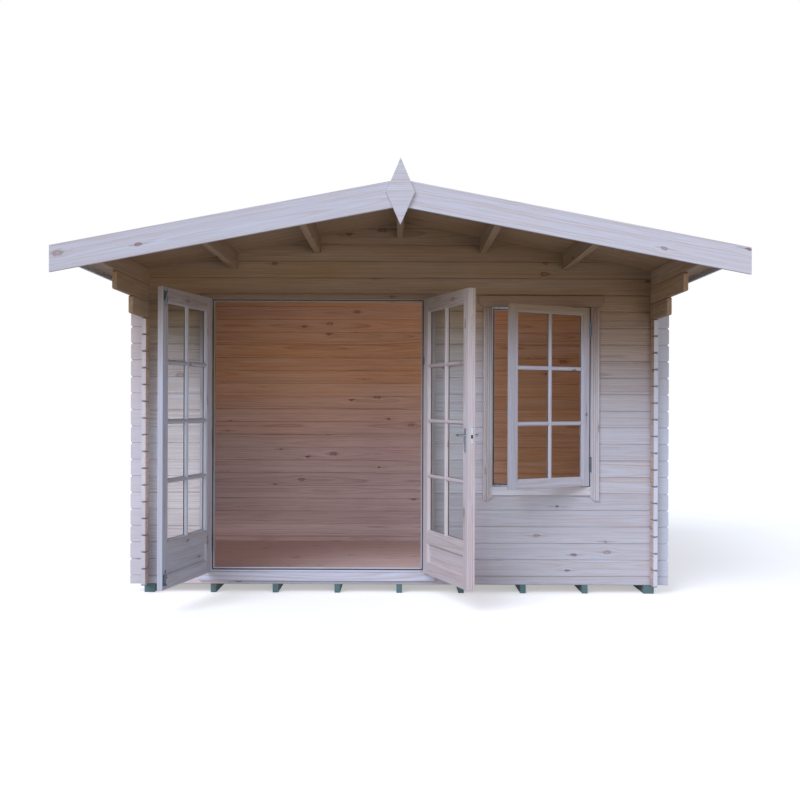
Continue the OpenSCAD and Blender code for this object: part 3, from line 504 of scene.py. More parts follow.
roof_angle = math.radians(10.8)
roof_t = 0.019
low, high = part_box("roof_boards_right")
ridge_z = high[2] - roof_t / math.cos(roof_angle)
slope_len = high[0] / math.cos(roof_angle) - 0.004
roof_boards = 30
roof_pitch = (high[1] - low[1]) / roof_boards
shape = board(slope_len, roof_pitch - board_gap, roof_t, 0.003, False)
for side, node in ((1, "roof_boards_right"), (-1, "roof_boards_left")):
    mesh = laid_boards(node, shape, roof_boards, roof_pitch, 20 + side, log_pine)
    mesh.transform(Matrix.Translation((0.0003, low[1] + roof_pitch / 2, 0)))
    if side < 0:
        mesh.transform(posed((0, low[1] + high[1], 0), math.pi, "Z"))
    mesh.transform(posed((0, 0, ridge_z), side * roof_angle, "Y"))
    finish_piece(mesh, node + "_run", log_pine, "cabin", "pine", (node,))

# ---------------------------------------------------------------- Purlins
# Five planed purlins run from gable to gable and out under the overhang. They rest
# in the gable logs and carry the roof boards.
worked("purlins", 61, log_pine, "_planed", 0.002)

# ---------------------------------------------------------------- Roof felt
# Mineral-faced bitumen felt, laid in two strips on each slope with a 75 mm lap and a
# strip over the ridge. Clout nails hold the laps and the eaves.
felt, tree, shader = surface("mineral_felt")
place = add(tree, "TexCoord").outputs["Object"]
# Slate granules are about 1 mm and drawn at 4 mm, so that they show
grit = add(tree, "TexVoronoi", {"Vector": place, "Scale": 250.0}).outputs["Color"]
grit = add(tree, "SeparateColor", (grit,)).outputs["Red"]
blot = add(tree, "TexNoise", {"Vector": place, "Scale": 3.0, "Detail": 4.0})
dark = add(tree, "Mix", {0: grit, 6: linear("#3d4643"), 7: linear("#66706b")}, data_type="RGBA").outputs[2]
worn = add(tree, "MapRange", {"Value": blot, "From Min": 0.35, "From Max": 0.7, "To Max": 0.35})
dark = add(tree, "Mix", {0: worn, 6: dark, 7: linear("#7b827c")}, data_type="RGBA").outputs[2]
bump = add(tree, "Bump", {"Strength": 0.5, "Distance": 0.001, "Height": grit})
feed(tree, shader, {"Base Color": dark, "Roughness": 0.95, "Normal": bump})
low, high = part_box("roof_felt")
felt_t = 0.002
felt_z = (roof_t + 0.0003) / math.cos(roof_angle) + 0.0002
roof_reach = high[0] / math.cos(roof_angle) - 0.002
lap, lower_strip, ridge_strip, apart = 0.075, 1.0, 0.14, 0.0008
strips = bmesh.new()
for side in (-1, 1):
    for start, end, lift in ((lower_strip - lap, roof_reach, 0.0), (apart, lower_strip, felt_t),
                             (apart, ridge_strip, 2 * felt_t)):
        sheet = slab(strips, (start, low[1], lift), (end, high[1], lift + felt_t))
        turn = posed((0, 0, ridge_z + felt_z), side * roof_angle, "Y")
        if side < 0:
            turn = turn @ posed((0, low[1] + high[1], 0), math.pi, "Z")
        for v in sheet:
            v.co = turn @ v.co
finish_piece(strips, "felt_strips", felt, "cabin", "felt", ("roof_felt",))

# ---------------------------------------------------------------- Bargeboards, finial and eave trims
# Planed boards close both ends of the roof and stand a little above the felt. A
# diamond-shaped finial covers the joint at the front, and a trim closes each eave.


def fall(side):
    """Turns a slope level, so that the boards on it have their grain along it."""
    return Matrix.Rotation(-side * roof_angle, 3, "Y")


for seed, (node, grain) in enumerate((("front_bargeboards", {"turn": fall}), ("back_bargeboards", {"turn": fall}),
                                      ("eave_trims", {}), ("finial", {"axis": 0}))):
    worked(node, 75 + seed, log_pine, "_planed", 0.002, 2, **grain)

# ---------------------------------------------------------------- Door frame
# A rebated softwood frame grips the ends of the logs: two jambs, a head and a
# threshold with a front lip. The leaves shut against its stop.
joinery_pine = pine("planed_pine_joinery", ("#b9a896", "#8d7864"), ("#cbd3e4", "#b3a6a2"),
                    ("#8d6f53", "#674c34"), ("#dee1ec", "#c6b4aa"), leaf_shading_tones=[("#d0cacf", "#b5a59b")] * 2,
                    knot_share=0.04, shelter=(2.05, 1.2))
threshold_pine = pine("planed_pine_threshold", *[("#dfe5f6", "#c3b6b4")] * 4, knot_share=0.04)
for seed, node in enumerate(("door_jamb_left", "door_jamb_right", "door_head", "door_threshold")):
    worked(node, 85 + seed, threshold_pine if node == "door_threshold" else joinery_pine, "_planed", 0.0015)

# A dark rubber seal is pressed into the stop, all round the doorway. Its bulb is matt
# and catches hardly any light


def loft(mesh, outlines, place=Matrix.Identity(4)):
    """A closed shape through outlines that each have the same number of points."""
    rings = [[mesh.verts.new(place @ Vector(p)) for p in outline] for outline in outlines]
    made = [mesh.faces.new(rings[0]), mesh.faces.new(rings[-1])]
    for low, high in zip(rings, rings[1:]):
        made += [mesh.faces.new((low[k - 1], low[k], high[k], high[k - 1])) for k in range(len(low))]
    bmesh.ops.recalc_face_normals(mesh, faces=made)
    return made


def moulding(mesh, u, z, profile):
    """Four mitred lengths round an opening. The profile gives pairs of inset and depth."""
    corners = ((u[0], z[0], 1, 1), (u[1], z[0], -1, 1), (u[1], z[1], -1, -1), (u[0], z[1], 1, -1))
    outlines = [[(x + way * inset, depth, h + up * inset) for inset, depth in profile] for x, h, way, up in corners]
    for k in range(4):
        loft(mesh, (outlines[k - 1], outlines[k]))


def mottled(name, dull, bright, smooth, rough, scale, detail=2.0, metallic=0.0, stretch=(1.0, 1.0, 1.0)):
    """A surface with a fine pattern in its colour and its roughness."""
    made, tree, shader = surface(name)
    place = add(tree, "TexCoord").outputs["Object"]
    place = add(tree, "VectorMath", (place, stretch), "MULTIPLY")
    blot = add(tree, "TexNoise", {"Vector": place, "Scale": scale, "Detail": detail})
    colour = add(tree, "Mix", {0: blot, 6: linear(dull), 7: linear(bright)}, data_type="RGBA").outputs[2]
    if smooth < rough:
        rough = add(tree, "MapRange", {"Value": blot, "To Min": smooth, "To Max": rough})
    feed(tree, shader, {"Metallic": metallic, "Base Color": colour, "Roughness": rough})
    return made


# Bloom and dust lie on it in patches of about 30 mm
rubber = mottled("extruded_rubber", "#3d3632", "#574d47", 0.65, 0.85, 33.0, 3.0)
stop_depth = 0.025
stop_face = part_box("door_threshold")[1][1] - stop_depth
clear_x = (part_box("door_jamb_left")[1][0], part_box("door_jamb_right")[0][0])
clear_z = (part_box("door_threshold")[1][2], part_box("door_head")[0][2])
seal = bmesh.new()
bulb = ((-0.0072, 0.0001), (-0.0084, 0.0022), (-0.0115, 0.0034), (-0.0146, 0.0022), (-0.0158, 0.0001))
moulding(seal, clear_x, clear_z, [(inset, stop_face - rise) for inset, rise in bulb])
finish_piece(seal, "door_seal", rubber, "cabin", "felt")

# ---------------------------------------------------------------- Window frame and casings
# The window's frame is set in the wall, with moulded casing boards over its joint
# with the logs.
frame_pine = pine("planed_pine_window_frame", *[("#cbd3e4", "#b3a6a2")] * 2, ("#8d6f53", "#674c34"),
                  ("#c5c2c9", "#a99b94"), knot_share=0.04, shelter=(2.05, 1.2))
worked("window_frame", 91, frame_pine, "_planed", 0.0015, axis=2)
worked("window_casing", 92, joinery_pine, "_planed", 0.002)

# The sash shuts on a rubber seal too
low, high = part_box("window_frame")
stop_x = (low[0] + 0.0457, high[0] - 0.0457)
stop_z = (low[2] + 0.0667, high[2] - 0.0988)
seal = bmesh.new()
bulb = ((-0.0012, 0.0001), (-0.002, 0.002), (-0.0046, 0.003), (-0.0072, 0.002), (-0.008, 0.0001))
moulding(seal, stop_x, stop_z, [(inset, stop_face - rise) for inset, rise in bulb])
finish_piece(seal, "window_seal", rubber, "cabin", "felt")

# Three beads are run along each side casing, with dust and painted shade in the quirks between them


def member(mesh, a, b, ease=0.002):
    """One planed length of wood between two corners, its edges eased."""
    edges = list(dict.fromkeys(e for v in slab(mesh, a, b) for e in v.link_edges))
    bmesh.ops.bevel(mesh, geom=edges, offset=ease, segments=1, profile=0.5, affect="EDGES")


low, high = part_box("window_casing")
head_casing_h, head_reach, casing_w, foot_bevel = 0.074, 0.031, 0.058, 0.026
half = ((-0.0066, 0.0006), (-0.0062, -0.0003), (-0.0022, -0.0042))
section = [*half, *[(-side, y) for side, y in reversed(half)]]
top = high[2] - head_casing_h - 0.002
beads = bmesh.new()
for outer, way in ((low[0] + head_reach, 1), (high[0] - head_reach, -1)):
    for k in (1, 2, 3):
        x = outer + way * (casing_w * k / 4 + 0.003)
        foot = low[2] + (foot_bevel if k == 3 else 0.004)
        loft(beads, [[(x + side, low[1] + y, z) for side, y in section] for z in (foot, top)])
run_grain(beads, 93)
joint = beads.verts.layers.float.new("joint")
for v in beads.verts:
    v[joint] = 0.65 * (v.co.y > low[1] - 0.001)
finish_piece(beads, "casing_beads", joinery_pine, "cabin", "pine")

# ---------------------------------------------------------------- Window sash
# An outward-opening casement of four members, with glazing bars that show six panes.
# It stands fixed open on its two hinges.


def bead(face, pane, way):
    """The profile of a bead from the face of the wood to the glass or panel, rounded over."""
    near, back = face + way * 0.002, pane - way * 0.0004
    fall = back - near
    return ((0.0003, near), (0.0003, back), (0.013, back), (0.013, back - 0.3 * fall), (0.0095, back - 0.72 * fall),
            (0.0045, near))


def bar(mesh, start, end, width, back, nose):
    """A glazing bar between two points of the glass, rounded from its foot to a narrow nose."""
    run = Vector((end[0] - start[0], end[1] - start[1])).normalized()
    half = ((0.5, 0.0), (0.5, 0.3), (0.42, 0.62), (0.26, 0.88), (0.1, 1.0))
    section = [(k * width, t) for k, t in half] + [(-k * width, t) for k, t in reversed(half)]
    loft(mesh, [[(p[0] + run.y * w, back + (nose - back) * t, p[1] - run.x * w) for w, t in section]
                for p in (start, end)])


def glazed(mesh, tape, u, z, wood, pane, columns, rows, width):
    """Beads round a sheet of glass, and bars over both its faces. Wood and pane give their two faces.

    Brown glazing tape shows 1.5 mm wide between the beads or bars and the glass, and draws the dark line along them as
    painted shade.
    """
    bead_w, shows = 0.013, 0.0015
    flat = width / 2 + shows
    u0, u1, z0, z1 = u[0] + 0.006, u[1] - 0.006, z[0] + 0.006, z[1] - 0.006
    for face, glass_face, way in ((wood[0], pane[0], 1), (wood[1], pane[1], -1)):
        nose, back = face + way * 0.002, glass_face - way * 0.0006
        moulding(mesh, u, z, bead(face, glass_face, way))
        moulding(tape, u, z, [(inset, glass_face - way * deep) for inset, deep in (
            (0.004, 0.0002), (bead_w + shows, 0.0002), (bead_w + shows, 0.0012), (0.004, 0.0012))])
        for i in range(1, columns):
            x = u0 + (u1 - u0) * i / columns
            near, far = sorted(glass_face - way * deep for deep in (0.0003, 0.0011))
            slab(tape, (x - flat, near, z[0] + bead_w), (x + flat, far, z[1] - bead_w))
            bar(mesh, (x, z0), (x, z1), width, back, nose)
        for j in range(1, rows):
            h = z0 + (z1 - z0) * j / rows
            near, far = sorted(glass_face - way * deep for deep in (0.0004, 0.001))
            slab(tape, (u[0] + bead_w, near, h - flat), (u[1] - bead_w, far, h + flat))
            for i in range(columns):
                a = u0 + (u1 - u0) * i / columns + (width * 0.2 if i else 0)
                b = u0 + (u1 - u0) * (i + 1) / columns - (width * 0.2 if i + 1 < columns else 0)
                bar(mesh, (a, h), (b, h), width, back - way * 0.0002, nose + way * 0.0003)


def framed(mesh, u, v, height, stile, rails):
    """Two stiles, with rails between them that each have a foot and a top."""
    for a, b in ((u[0], u[0] + stile), (u[1] - stile, u[1])):
        member(mesh, (a, v[0], 0), (b, v[1], height))
    for a, b in rails:
        member(mesh, (u[0] + stile + 0.0002, v[0], a), (u[1] - stile - 0.0002, v[1], b))


sash_w, sash_h, sash_t, sash_rail, sash_top = 0.646, 1.186, 0.034, 0.052, 0.042
glass_t = 0.004
half_gap, knuckle_r = 0.0025, 0.006
low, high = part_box("window_hinges")
hinge_x, hinge_y = (low[0] + high[0]) / 2, (low[1] + high[1]) / 2
sash_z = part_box("window_glass")[0][2] - sash_rail - 0.0003
sash_place = posed((hinge_x, hinge_y, sash_z), math.radians(30), "Z")
u0, u1 = -half_gap - sash_w, -half_gap
v0, v1 = knuckle_r, knuckle_r + sash_t
mesh = bmesh.new()
framed(mesh, (u0, u1), (v0, v1), sash_h, sash_rail, ((0, sash_rail), (sash_h - sash_top, sash_h)))
pane = ((v0 + v1 - glass_t) / 2, (v0 + v1 + glass_t) / 2)
tape = bmesh.new()
glazed(mesh, tape, (u0 + sash_rail, u1 - sash_rail), (sash_rail, sash_h - sash_top), (v0, v1), pane, 2, 3, 0.026)
run_grain(mesh, 95)
mesh.transform(sash_place)
sash_pine = pine("planed_pine_sash", *[("#cbd3e4", "#b3a6a2")] * 2, ("#9d8766", "#775f45"),
                 ("#cfd4e4", "#b7a49d"), knot_share=0.05, shelter=(1.97, 1.5))
finish_piece(mesh, "window_sash_glazed", sash_pine, "cabin", "pine", ("window_sash",))
# Brown butyl, with fine smears about 10 mm long. Its dark strips along the bars and beads are also painted shade
glazing_tape = mottled("butyl_glazing_tape", "#5f4738", "#7e6455", 0.7, 0.7, 100.0)
tape.transform(sash_place)
finish_piece(tape, "window_glazing_tape", glazing_tape, "cabin", "felt")

# ---------------------------------------------------------------- Door leaves
# Two glazed leaves, 34 mm thick: stiles and rails round one sheet of glass over a flat
# panel. Both are set near the outer face, with deep bars and beads on the inner one.


def closed(mesh, place):
    """Moves a piece to its place. A mirrored one is turned right side out."""
    mesh.transform(place)
    if place.determinant() < 0:
        bmesh.ops.reverse_faces(mesh, faces=mesh.faces)


leaf_w, leaf_h, leaf_t, stile_w = 0.735, 1.815, 0.034, 0.070
bottom_rail, panel_h, mid_rail, top_rail = 0.075, 0.134, 0.070, 0.080
glass_out, panel_t, panel_out = 0.008, 0.012, 0.008
# Painted light: the left leaf's open tone is drawn cooler and the right leaf's warmer, by how the light falls on them
leaf_pine = {side: pine("planed_pine_" + side + "_leaf", *[("#cbd3e4", "#b3a6a2")] * 2, ("#a39079", "#7a6450"),
                        lit_leaf_tone, knot_share=0.12, shelter=(2.25, 1.25))
             for side, lit_leaf_tone in (("left", ("#cdd5e6", "#b5a5a1")), ("right", ("#d9d3d8", "#bea499")))}
joints = {j["name"]: j for j in frame["joints"]}
leaf_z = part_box("left_leaf")[0][2]
for side, way in (("left", -1), ("right", 1)):
    joint = joints[side + "_door_hinge"]
    leaf_place = (posed((*joint["pos_m"][:2], leaf_z), -way * math.radians(joint["range_deg"][0]), "Z")
                  @ Matrix.Diagonal((-way, 1, 1, 1)))
    u0, u1 = half_gap, half_gap + leaf_w
    v0, v1 = knuckle_r, knuckle_r + leaf_t
    mesh = bmesh.new()
    glass_z = bottom_rail + panel_h + mid_rail
    framed(mesh, (u0, u1), (v0, v1), leaf_h, stile_w,
           ((0, bottom_rail), (bottom_rail + panel_h, glass_z), (leaf_h - top_rail, leaf_h)))
    inner = (u0 + stile_w, u1 - stile_w)
    pane_v = (v0 + v1) / 2 - glass_out
    tape = bmesh.new()
    pane = (pane_v - glass_t / 2, pane_v + glass_t / 2)
    glazed(mesh, tape, inner, (glass_z, leaf_h - top_rail), (v0, v1), pane, 2, 4, 0.026)
    panel_v = ((v0 + v1) / 2 - panel_out - panel_t / 2, (v0 + v1) / 2 - panel_out + panel_t / 2)
    moulding(mesh, inner, (bottom_rail, bottom_rail + panel_h), bead(v1, panel_v[1], -1))
    run_grain(mesh, 203 + way)
    closed(mesh, leaf_place)
    closed(tape, leaf_place)
    finish_piece(tape, side + "_glazing_tape", glazing_tape, side + "_door", "felt")
    finish_piece(mesh, side + "_leaf_joinery", leaf_pine[side], side + "_door", "pine", (side + "_leaf",))
    mesh = bmesh.new()
    member(mesh, (u0 + stile_w + 0.0004, panel_v[0], bottom_rail + 0.0004),
           (u1 - stile_w - 0.0004, panel_v[1], bottom_rail + panel_h - 0.0004), 0.001)
    run_grain(mesh, 111 + way)
    closed(mesh, leaf_place)
    finish_piece(mesh, side + "_panel_flat", leaf_pine[side], side + "_door", "pine", (side + "_panel",))

worked("cover_strip", 121, leaf_pine["right"], "_planed", 0.0015, body="right_door")

# ---------------------------------------------------------------- Glass
# Clear 4 mm float glass. It hardly mirrors anything, so its index is low. Most of the lamps'
# light passes it, so that it throws a faint shade.
glass, tree, shader = surface("float_glass")
feed(tree, shader, {"Base Color": linear("#f4faf8"), "Roughness": 0.02, "IOR": 1.08, "Transmission Weight": 1.0})
clear = add(tree, "BsdfTransparent", {"Color": linear("#d6d9dc")})
lamps = add(tree, "LightPath").outputs["Is Shadow Ray"]
both = add(tree, "MixShader", {0: lamps, 1: shader, 2: clear})
feed(tree, tree.nodes["Material Output"], {"Surface": both})


def dressed(material, *nodes):
    """Gives a material to nodes that keep their own shape."""
    for node in nodes:
        for spot in frame["nodes"][node].material_slots:
            spot.material = material


dressed(glass, "window_glass", "left_glass", "right_glass")

# ---------------------------------------------------------------- Hinges, bolts and handle
# Metal fittings, all screwed on: hinges, bolts and screws of zinc-plated steel, and a
# lever handle on satin plates, with a key's cylinder under it.
zinc, tree, shader = surface("zinc_plated_steel")
# The crystals of the zinc are about 7 mm across
place = add(tree, "TexCoord").outputs["Object"]
spangle = add(tree, "TexVoronoi", {"Vector": place, "Scale": 140.0}).outputs["Color"]
spangle = add(tree, "SeparateColor", (spangle,)).outputs["Red"]
colour = add(tree, "Mix", {0: spangle, 6: linear("#515e67"), 7: linear("#6c7982")}, data_type="RGBA").outputs[2]
rough = add(tree, "MapRange", {"Value": spangle, "To Min": 0.32, "To Max": 0.45})
feed(tree, shader, {"Metallic": 1.0, "Base Color": colour, "Roughness": rough})
dressed(zinc, "window_hinges", "left_hinges", "right_hinges", "hinge_pins")


def ring(along, across, up, sides=20, lean=(0.0, 0.0)):
    """An oval outline at a place along X, with its half width along Y and half height along Z."""
    return [(along, lean[0] + across * math.cos(math.tau * k / sides), lean[1] + up * math.sin(math.tau * k / sides))
            for k in range(sides)]


def rounded(mesh, place, rings):
    """A smooth closed piece through rings, with flat ends."""
    for face in loft(mesh, rings, place)[2:]:
        face.smooth = True


def turned(mesh, place, stations, sides=20):
    """A round piece along X, through stations of place and radius."""
    rounded(mesh, place, [ring(x, r, r, sides) for x, r in stations])


def plate(mesh, place, width, height, thick, radius):
    """A plate with rounded corners and an eased face, in the XZ plane with its face towards +Y."""
    outlines = []
    for y, inset in ((0, 0), (thick - 0.0006, 0), (thick, 0.0006)):
        w, h, r = width / 2 - inset, height / 2 - inset, radius - inset
        outlines.append([(sx * (w - r) + r * math.cos(math.radians(turn + k * 22.5)), y,
                          sz * (h - r) + r * math.sin(math.radians(turn + k * 22.5)))
                         for sx, sz, turn in ((1, 1, 0), (-1, 1, 90), (-1, -1, 180), (1, -1, 270)) for k in range(5)])
    loft(mesh, outlines, place)


# Heads of screws and nails: a flat cone on each point, facing +Z, with a socket in its top
heads, given = maker("heads", Points="Geometry", Radius="Float", Rise="Float", Socket="Float", Finish="Material")
crown = add(heads, "Math", (given.outputs["Radius"], 0.82), "MULTIPLY")
cone = add(heads, "GeometryNodeMeshCone", {"Vertices": 12, "Radius Top": crown,
                                           "Radius Bottom": given.outputs["Radius"], "Depth": given.outputs["Rise"]})
rim = add(heads, "GeometryNodeExtrudeMesh", {"Mesh": cone.outputs["Mesh"], "Selection": cone.outputs["Top"],
                                             "Offset Scale": 0.0}, mode="FACES")
mouth = add(heads, "GeometryNodeScaleElements", {"Geometry": rim.outputs["Mesh"], "Selection": rim.outputs["Top"],
                                                 "Scale": given.outputs["Socket"]})
depth = add(heads, "Math", (given.outputs["Rise"], -0.6), "MULTIPLY")
sunk = add(heads, "GeometryNodeExtrudeMesh", {"Mesh": mouth, "Selection": rim.outputs["Top"],
                                              "Offset Scale": depth}, mode="FACES")
spin = add(heads, "FunctionNodeRandomValue", {0: (0.0, 0.0, 0.0), 1: (0.0, 0.0, 6.28), "Seed": 3},
           data_type="FLOAT_VECTOR")
copies = add(heads, "GeometryNodeInstanceOnPoints", {"Points": given.outputs["Points"], "Rotation": spin,
                                                     "Instance": sunk.outputs["Mesh"]})
real = add(heads, "GeometryNodeRealizeInstances", (copies,))
done = add(heads, "GeometryNodeSetMaterial", {"Geometry": real, "Material": given.outputs["Finish"]})
add(heads, "NodeGroupOutput", (done,))


def fixings(mesh, points, place, radius, rise, socket_share=0.45):
    """Heads at points of a plane, whose X, Y and outward Z the place turns to the object's own."""
    grown_heads = grown(heads, "fixings", {"Radius": radius, "Rise": rise, "Socket": socket_share, "Finish": zinc},
                        [(x, y, 0) for x, y in points])
    grown_heads.transform(place)
    mesh.from_mesh(grown_heads)
    bpy.data.meshes.remove(grown_heads)


# The plates are of satin aluminium and screwed on. The levers they carry are nickel plated,
# and the latch's mouth is a flat dark plate, painted shade that stands for its dark hole. All are
# brushed upright, and their strokes of 0.5 mm are drawn at 1 mm, so that they show
satin, nickel, hole_shade = [mottled(name, dull, bright, 0.42, 0.6, 1.0, metallic=1.0, stretch=(1000.0, 1000.0, 30.0))
                            for name, dull, bright in (("satin_aluminium", "#bccad5", "#d9e5ee"),
                                                       ("brushed_nickel", "#7f8f9c", "#9dacb8"),
                                                       ("latch_hole_shade", "#1c1613", "#30271f"))]
handle_u, plate_w, plate_h, plate_t, plate_z = 0.7025, 0.032, 0.148, 0.003, 0.827
spindle_z, lever_reach, seat = 0.931, 0.042, 0.0003
faces = ((knuckle_r - seat, -1), (knuckle_r + leaf_t + seat, 1))
plates, screws, lever = bmesh.new(), bmesh.new(), bmesh.new()
turned(lever, posed((handle_u, 0, spindle_z), math.pi / 2, "Z"),
       ((faces[0][0] - 0.01, 0.005), (faces[1][0] + 0.01, 0.005)))
for face, way in faces:
    flat = Matrix.Translation((handle_u, face, plate_z + plate_h / 2)) @ Matrix.Diagonal((1, way, 1, 1))
    plate(plates, flat, plate_w, plate_h, plate_t, plate_w / 2 - 0.001)
    # The lock's cylinder, with its key slot
    for half in (0, math.pi):
        outline = [(0.0007 + 0.0078 * math.sin(math.pi * k / 8), 0.0078 * math.cos(math.pi * k / 8)) for k in range(9)]
        loft(plates, [[(x, y, z) for x, z in outline] for y in (0.001, 0.0042)],
             Matrix.Translation((handle_u, face, plate_z + 0.036)) @ Matrix.Diagonal((1, way, 1, 1))
             @ Matrix.Rotation(half, 4, "Y"))
    out = Matrix.Translation((handle_u, face + way * (plate_t + seat), spindle_z))
    reach = lever_reach - plate_t
    turned(lever, out @ Matrix.Rotation(way * math.pi / 2, 4, "Z"),
           ((0, 0.0106), (0.0022, 0.0106), (0.003, 0.0098), (0.0045, 0.0078), (reach * 0.5, 0.0066),
            (reach - 0.009, 0.0074), (reach + 0.004, 0.0082), (reach + 0.0062, 0.0066), (reach + 0.0068, 0.003)), 24)
    stations = ((0.0085, 0.003, 0.003, 0), (0.0078, 0.0058, 0.0062, 0), (0.0, 0.0068, 0.0074, 0),
                (-0.012, 0.0056, 0.0068, 0), (-0.03, 0.0046, 0.0056, 0.001), (-0.047, 0.0042, 0.0044, 0.0026),
                (-0.0545, 0.0036, 0.0036, 0.0036), (-0.056, 0.002, 0.002, 0.0038))
    rounded(lever, out @ Matrix.Translation((0, way * reach, 0)),
            [ring(x, a, b, 16, (-way * inward, 0)) for x, a, b, inward in stations])
    upright = posed((0, face + way * plate_t, 0), -way * math.pi / 2, "X")
    fixings(screws, [(handle_u, -way * (plate_z + h)) for h in (0.011, plate_h - 0.011)], upright, 0.0031, 0.0009)

# The lock's forend lies in the leaf's edge, round the mouth of its latch
forend_v, mouth_z = 0.0135, 0.923
edge_u = half_gap + leaf_w
edge = posed((edge_u, forend_v, 0), -math.pi / 2, "Z")
forend = bmesh.new()
for left, right, low, high, proud in ((-0.0065, 0.0065, 0.868, mouth_z - 0.0115, 0.0009),
                                      (-0.0065, 0.0065, mouth_z + 0.0115, 0.988, 0.0009),
                                      (-0.0065, -0.0057, mouth_z - 0.0114, mouth_z + 0.0114, 0.0008),
                                      (0.0057, 0.0065, mouth_z - 0.0114, mouth_z + 0.0114, 0.0008)):
    slab(forend, (edge_u - 0.001, forend_v + left, low), (edge_u + proud, forend_v + right, high))
# Painted shade: a flat dark plate stands for the latch's dark mouth
mouth = bmesh.new()
plate(mouth, edge @ Matrix.Translation((0, -0.0005, mouth_z)), 0.0112, 0.023, 0.0011, 0.004)
fixings(screws, [(-z, forend_v) for z in (0.877, 0.979)], posed((edge_u + 0.0009, 0, 0), math.pi / 2, "Y"),
        0.0031, 0.0006)
for mesh, name, finish, body, nodes in ((plates, "handle_plates_satin", satin, "right_door", ("handle_plates",)),
                                        (forend, "lock_forend", satin, "right_door", ()),
                                        (lever, "door_lever_brushed", nickel, "handle", ("door_handle",)),
                                        (mouth, "latch_mouth", hole_shade, "right_door", ()),
                                        (screws, "right_door_screws", zinc, "right_door", ())):
    closed(mesh, leaf_place)
    finish_piece(mesh, name, finish, body, "steel", nodes)

# The left leaf's flush bolts have round rods and ball knobs, and run in two folded guides each
joint = joints["left_door_hinge"]
left_place = posed((*joint["pos_m"][:2], leaf_z), math.radians(joint["range_deg"][0]), "Z")
bolt_u, bolt_v, bolt_r, bolt_len, knob_in, knob_len = 0.7175, 0.0535, 0.004, 0.096, 0.048, 0.014
bolt_plate_h, bolt_top, bolt_low = 0.066, 1.793, 0.027
finish_piece(from_frame("bolt_plates", 0.0006), "bolt_plates_folded", zinc, "left_door", "steel", ("bolt_plates",))
screws = bmesh.new()
for name, start, knob_z, middle in (("top_bolt", bolt_top - bolt_len, bolt_top - knob_in, bolt_top - bolt_plate_h / 2),
                                    ("bottom_bolt", bolt_low, bolt_low + knob_in, bolt_low + bolt_plate_h / 2)):
    mesh = bmesh.new()
    turned(mesh, posed((bolt_u, bolt_v, start), -math.pi / 2, "Y"),
           ((0, 0.0028), (0.0012, bolt_r), (bolt_len - 0.0012, bolt_r), (bolt_len, 0.0028)))
    ball = [(knob_len - 0.0043 + 0.0043 * math.cos(t), 0.0043 * math.sin(t))
            for t in [math.pi * k / 10 for k in range(8, 0, -1)]]
    turned(mesh, posed((bolt_u, bolt_v, knob_z), math.pi / 2, "Z"),
           [(0, 0.0024), (knob_len - 0.009, 0.0024), *ball, (knob_len, 0.0004)], 16)
    mesh.transform(left_place)
    finish_piece(mesh, name + "_turned", zinc, name, "steel", (name,))
    upright = posed((0, knuckle_r + leaf_t + 0.0023, 0), -math.pi / 2, "X")
    fixings(screws, [(bolt_u + x, -(middle + h)) for x in (-0.006, 0.006) for h in (-0.017, 0.017)], upright,
            0.0022, 0.0007)
screws.transform(left_place)
finish_piece(screws, "left_door_screws", zinc, "left_door", "steel")

# A small lever fastener on the sash's free stile holds it shut
fastener = bmesh.new()
stile_u, fastener_z = -half_gap - sash_w + 0.014, 0.523
seated = Matrix.Translation((stile_u, knuckle_r + sash_t, fastener_z))
plate(fastener, seated, 0.018, 0.056, 0.0025, 0.005)
turned(fastener, seated @ Matrix.Rotation(math.pi / 2, 4, "Z"),
       ((0, 0.0075), (0.006, 0.0072), (0.014, 0.006), (0.018, 0.0058), (0.019, 0.004)), 16)
stations = ((0.006, 0.002, 0.003, 0), (0.004, 0.0034, 0.0055, 0), (-0.02, 0.003, 0.0055, 0),
            (-0.05, 0.0026, 0.0045, 0.001), (-0.063, 0.002, 0.0036, 0.002), (-0.066, 0.001, 0.002, 0.002))
rounded(fastener, seated @ posed((0, 0.0155, 0), -math.pi / 2, "Y"),
        [ring(x, a, b, 12, (-drop, 0)) for x, a, b, drop in stations])
fixings(fastener, [(stile_u, -(fastener_z + h)) for h in (-0.021, 0.021)],
        posed((0, knuckle_r + sash_t + 0.0025, 0), -math.pi / 2, "X"), 0.0024, 0.0008)
fastener.transform(sash_place)
finish_piece(fastener, "sash_fastener", nickel, "cabin", "steel")

# Clout nails 75 mm apart hold the felt's eaves, laps and ridge strip
nails = bmesh.new()
low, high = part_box("roof_felt")
nail_pitch = 0.075
rows = int((high[1] - low[1] - 0.05) / nail_pitch)
for side in (-1, 1):
    slope = posed((0, 0, ridge_z + felt_z), side * roof_angle, "Y")
    for along, rise in ((roof_reach - 0.03, felt_t), (lower_strip - 0.025, 2 * felt_t),
                        (ridge_strip - 0.02, 3 * felt_t)):
        fixings(nails, [(side * along, low[1] + 0.03 + nail_pitch * k) for k in range(rows + 1)],
                slope @ Matrix.Translation((0, 0, rise)), 0.0055, 0.0008, 0.2)
finish_piece(nails, "felt_nails", zinc, "cabin", "steel")

# ---------------------------------------------------------------- Studio
camera = bpy.data.objects.new("camera", bpy.data.cameras.new("camera"))
bpy.context.scene.collection.objects.link(camera)
for setting, value in (("sensor_width", 36), ("lens", 47.07), ("shift_x", 0.00025), ("shift_y", 0.005),
                       ("clip_end", 200)):
    setattr(camera.data, setting, value)
camera.location = (0, -8.03, 1.261)
camera.rotation_euler = (math.radians(90), math.radians(-0.2), 0)
bpy.context.scene.camera = camera

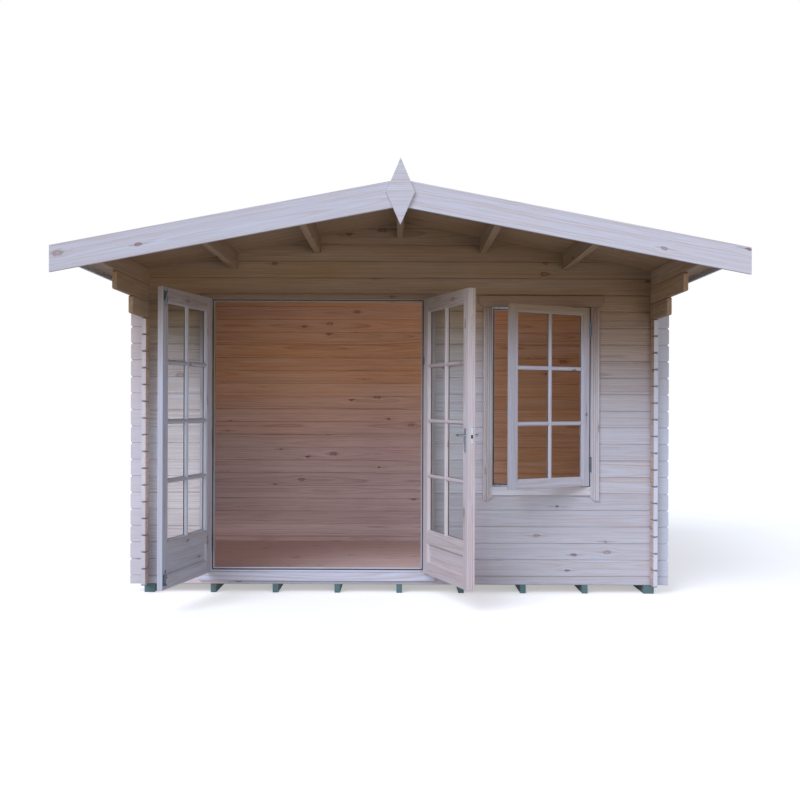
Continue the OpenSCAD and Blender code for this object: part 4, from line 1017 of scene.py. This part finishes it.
ground = bmesh.new()
bmesh.ops.create_grid(ground, x_segments=1, y_segments=1, size=60)
data = bpy.data.meshes.new("ground")
ground.to_mesh(data)
floor = bpy.data.objects.new("ground", data)
bpy.context.scene.collection.objects.link(floor)
paper, tree, shader = surface("studio_paper")


def in_view(tree):
    """1 where a ray comes from the camera, a mirror or glass, so that these see white."""
    rays = add(tree, "LightPath").outputs
    seen = add(tree, "Math", (rays["Is Camera Ray"], rays["Is Glossy Ray"]), "ADD")
    return add(tree, "Math", (seen, rays["Is Transmission Ray"]), "ADD", use_clamp=True)


seen = in_view(tree)
lit = add(tree, "BsdfDiffuse", {"Color": linear("#ffffff")})
glow = add(tree, "Emission", {"Color": linear("#ffffff"), "Strength": 0.42})
white = add(tree, "AddShader", {0: lit, 1: glow})
pale = add(tree, "BsdfDiffuse", {"Color": linear("#b9b5b3")})
both = add(tree, "MixShader", {0: seen, 1: pale, 2: white})
feed(tree, tree.nodes["Material Output"], {"Surface": both})
data.materials.append(paper)

world = bpy.data.worlds.new("studio")
bpy.context.scene.world = world
world.use_nodes = True
tree = world.node_tree
sky = tree.nodes["Background"]
feed(tree, sky, {"Color": linear("#dfe6f5"), "Strength": 0.46})
white = add(tree, "Background", {"Color": (1, 1, 1, 1), "Strength": 1.0})
both = add(tree, "MixShader", {0: in_view(tree), 1: sky, 2: white})
feed(tree, tree.nodes["World Output"], {"Surface": both})


def lamp(name, kind, place, aim, colour, **settings):
    """A soft studio light that faces aim."""
    light = bpy.data.lights.new(name, kind)
    light.color = linear(colour)[:3]
    for key, value in settings.items():
        setattr(light, key, value)
    lit = bpy.data.objects.new(name, light)
    bpy.context.scene.collection.objects.link(lit)
    lit.location = place
    lit.rotation_euler = (Vector(aim) - Vector(place)).to_track_quat("-Z", "Y").to_euler()
    lit.visible_camera = False
    lit.visible_glossy = False
    lit.visible_transmission = False


lamp("key", "SUN", (-5.5, -9.0, 7.5), (0, -1.0, 1.0), "#e6edff", energy=2.15, angle=math.radians(40))
lamp("fill", "AREA", (3.5, -12.0, 1.4), (0, -1.0, 1.2), "#fbf2ee", energy=205, size=3.0)
lamp("room", "AREA", (0.05, -0.95, 1.05), (0.05, 1.0, 1.0), "#f3f2fa", energy=6.6, size=1.1)

bpy.context.scene.view_settings.view_transform = "Standard"
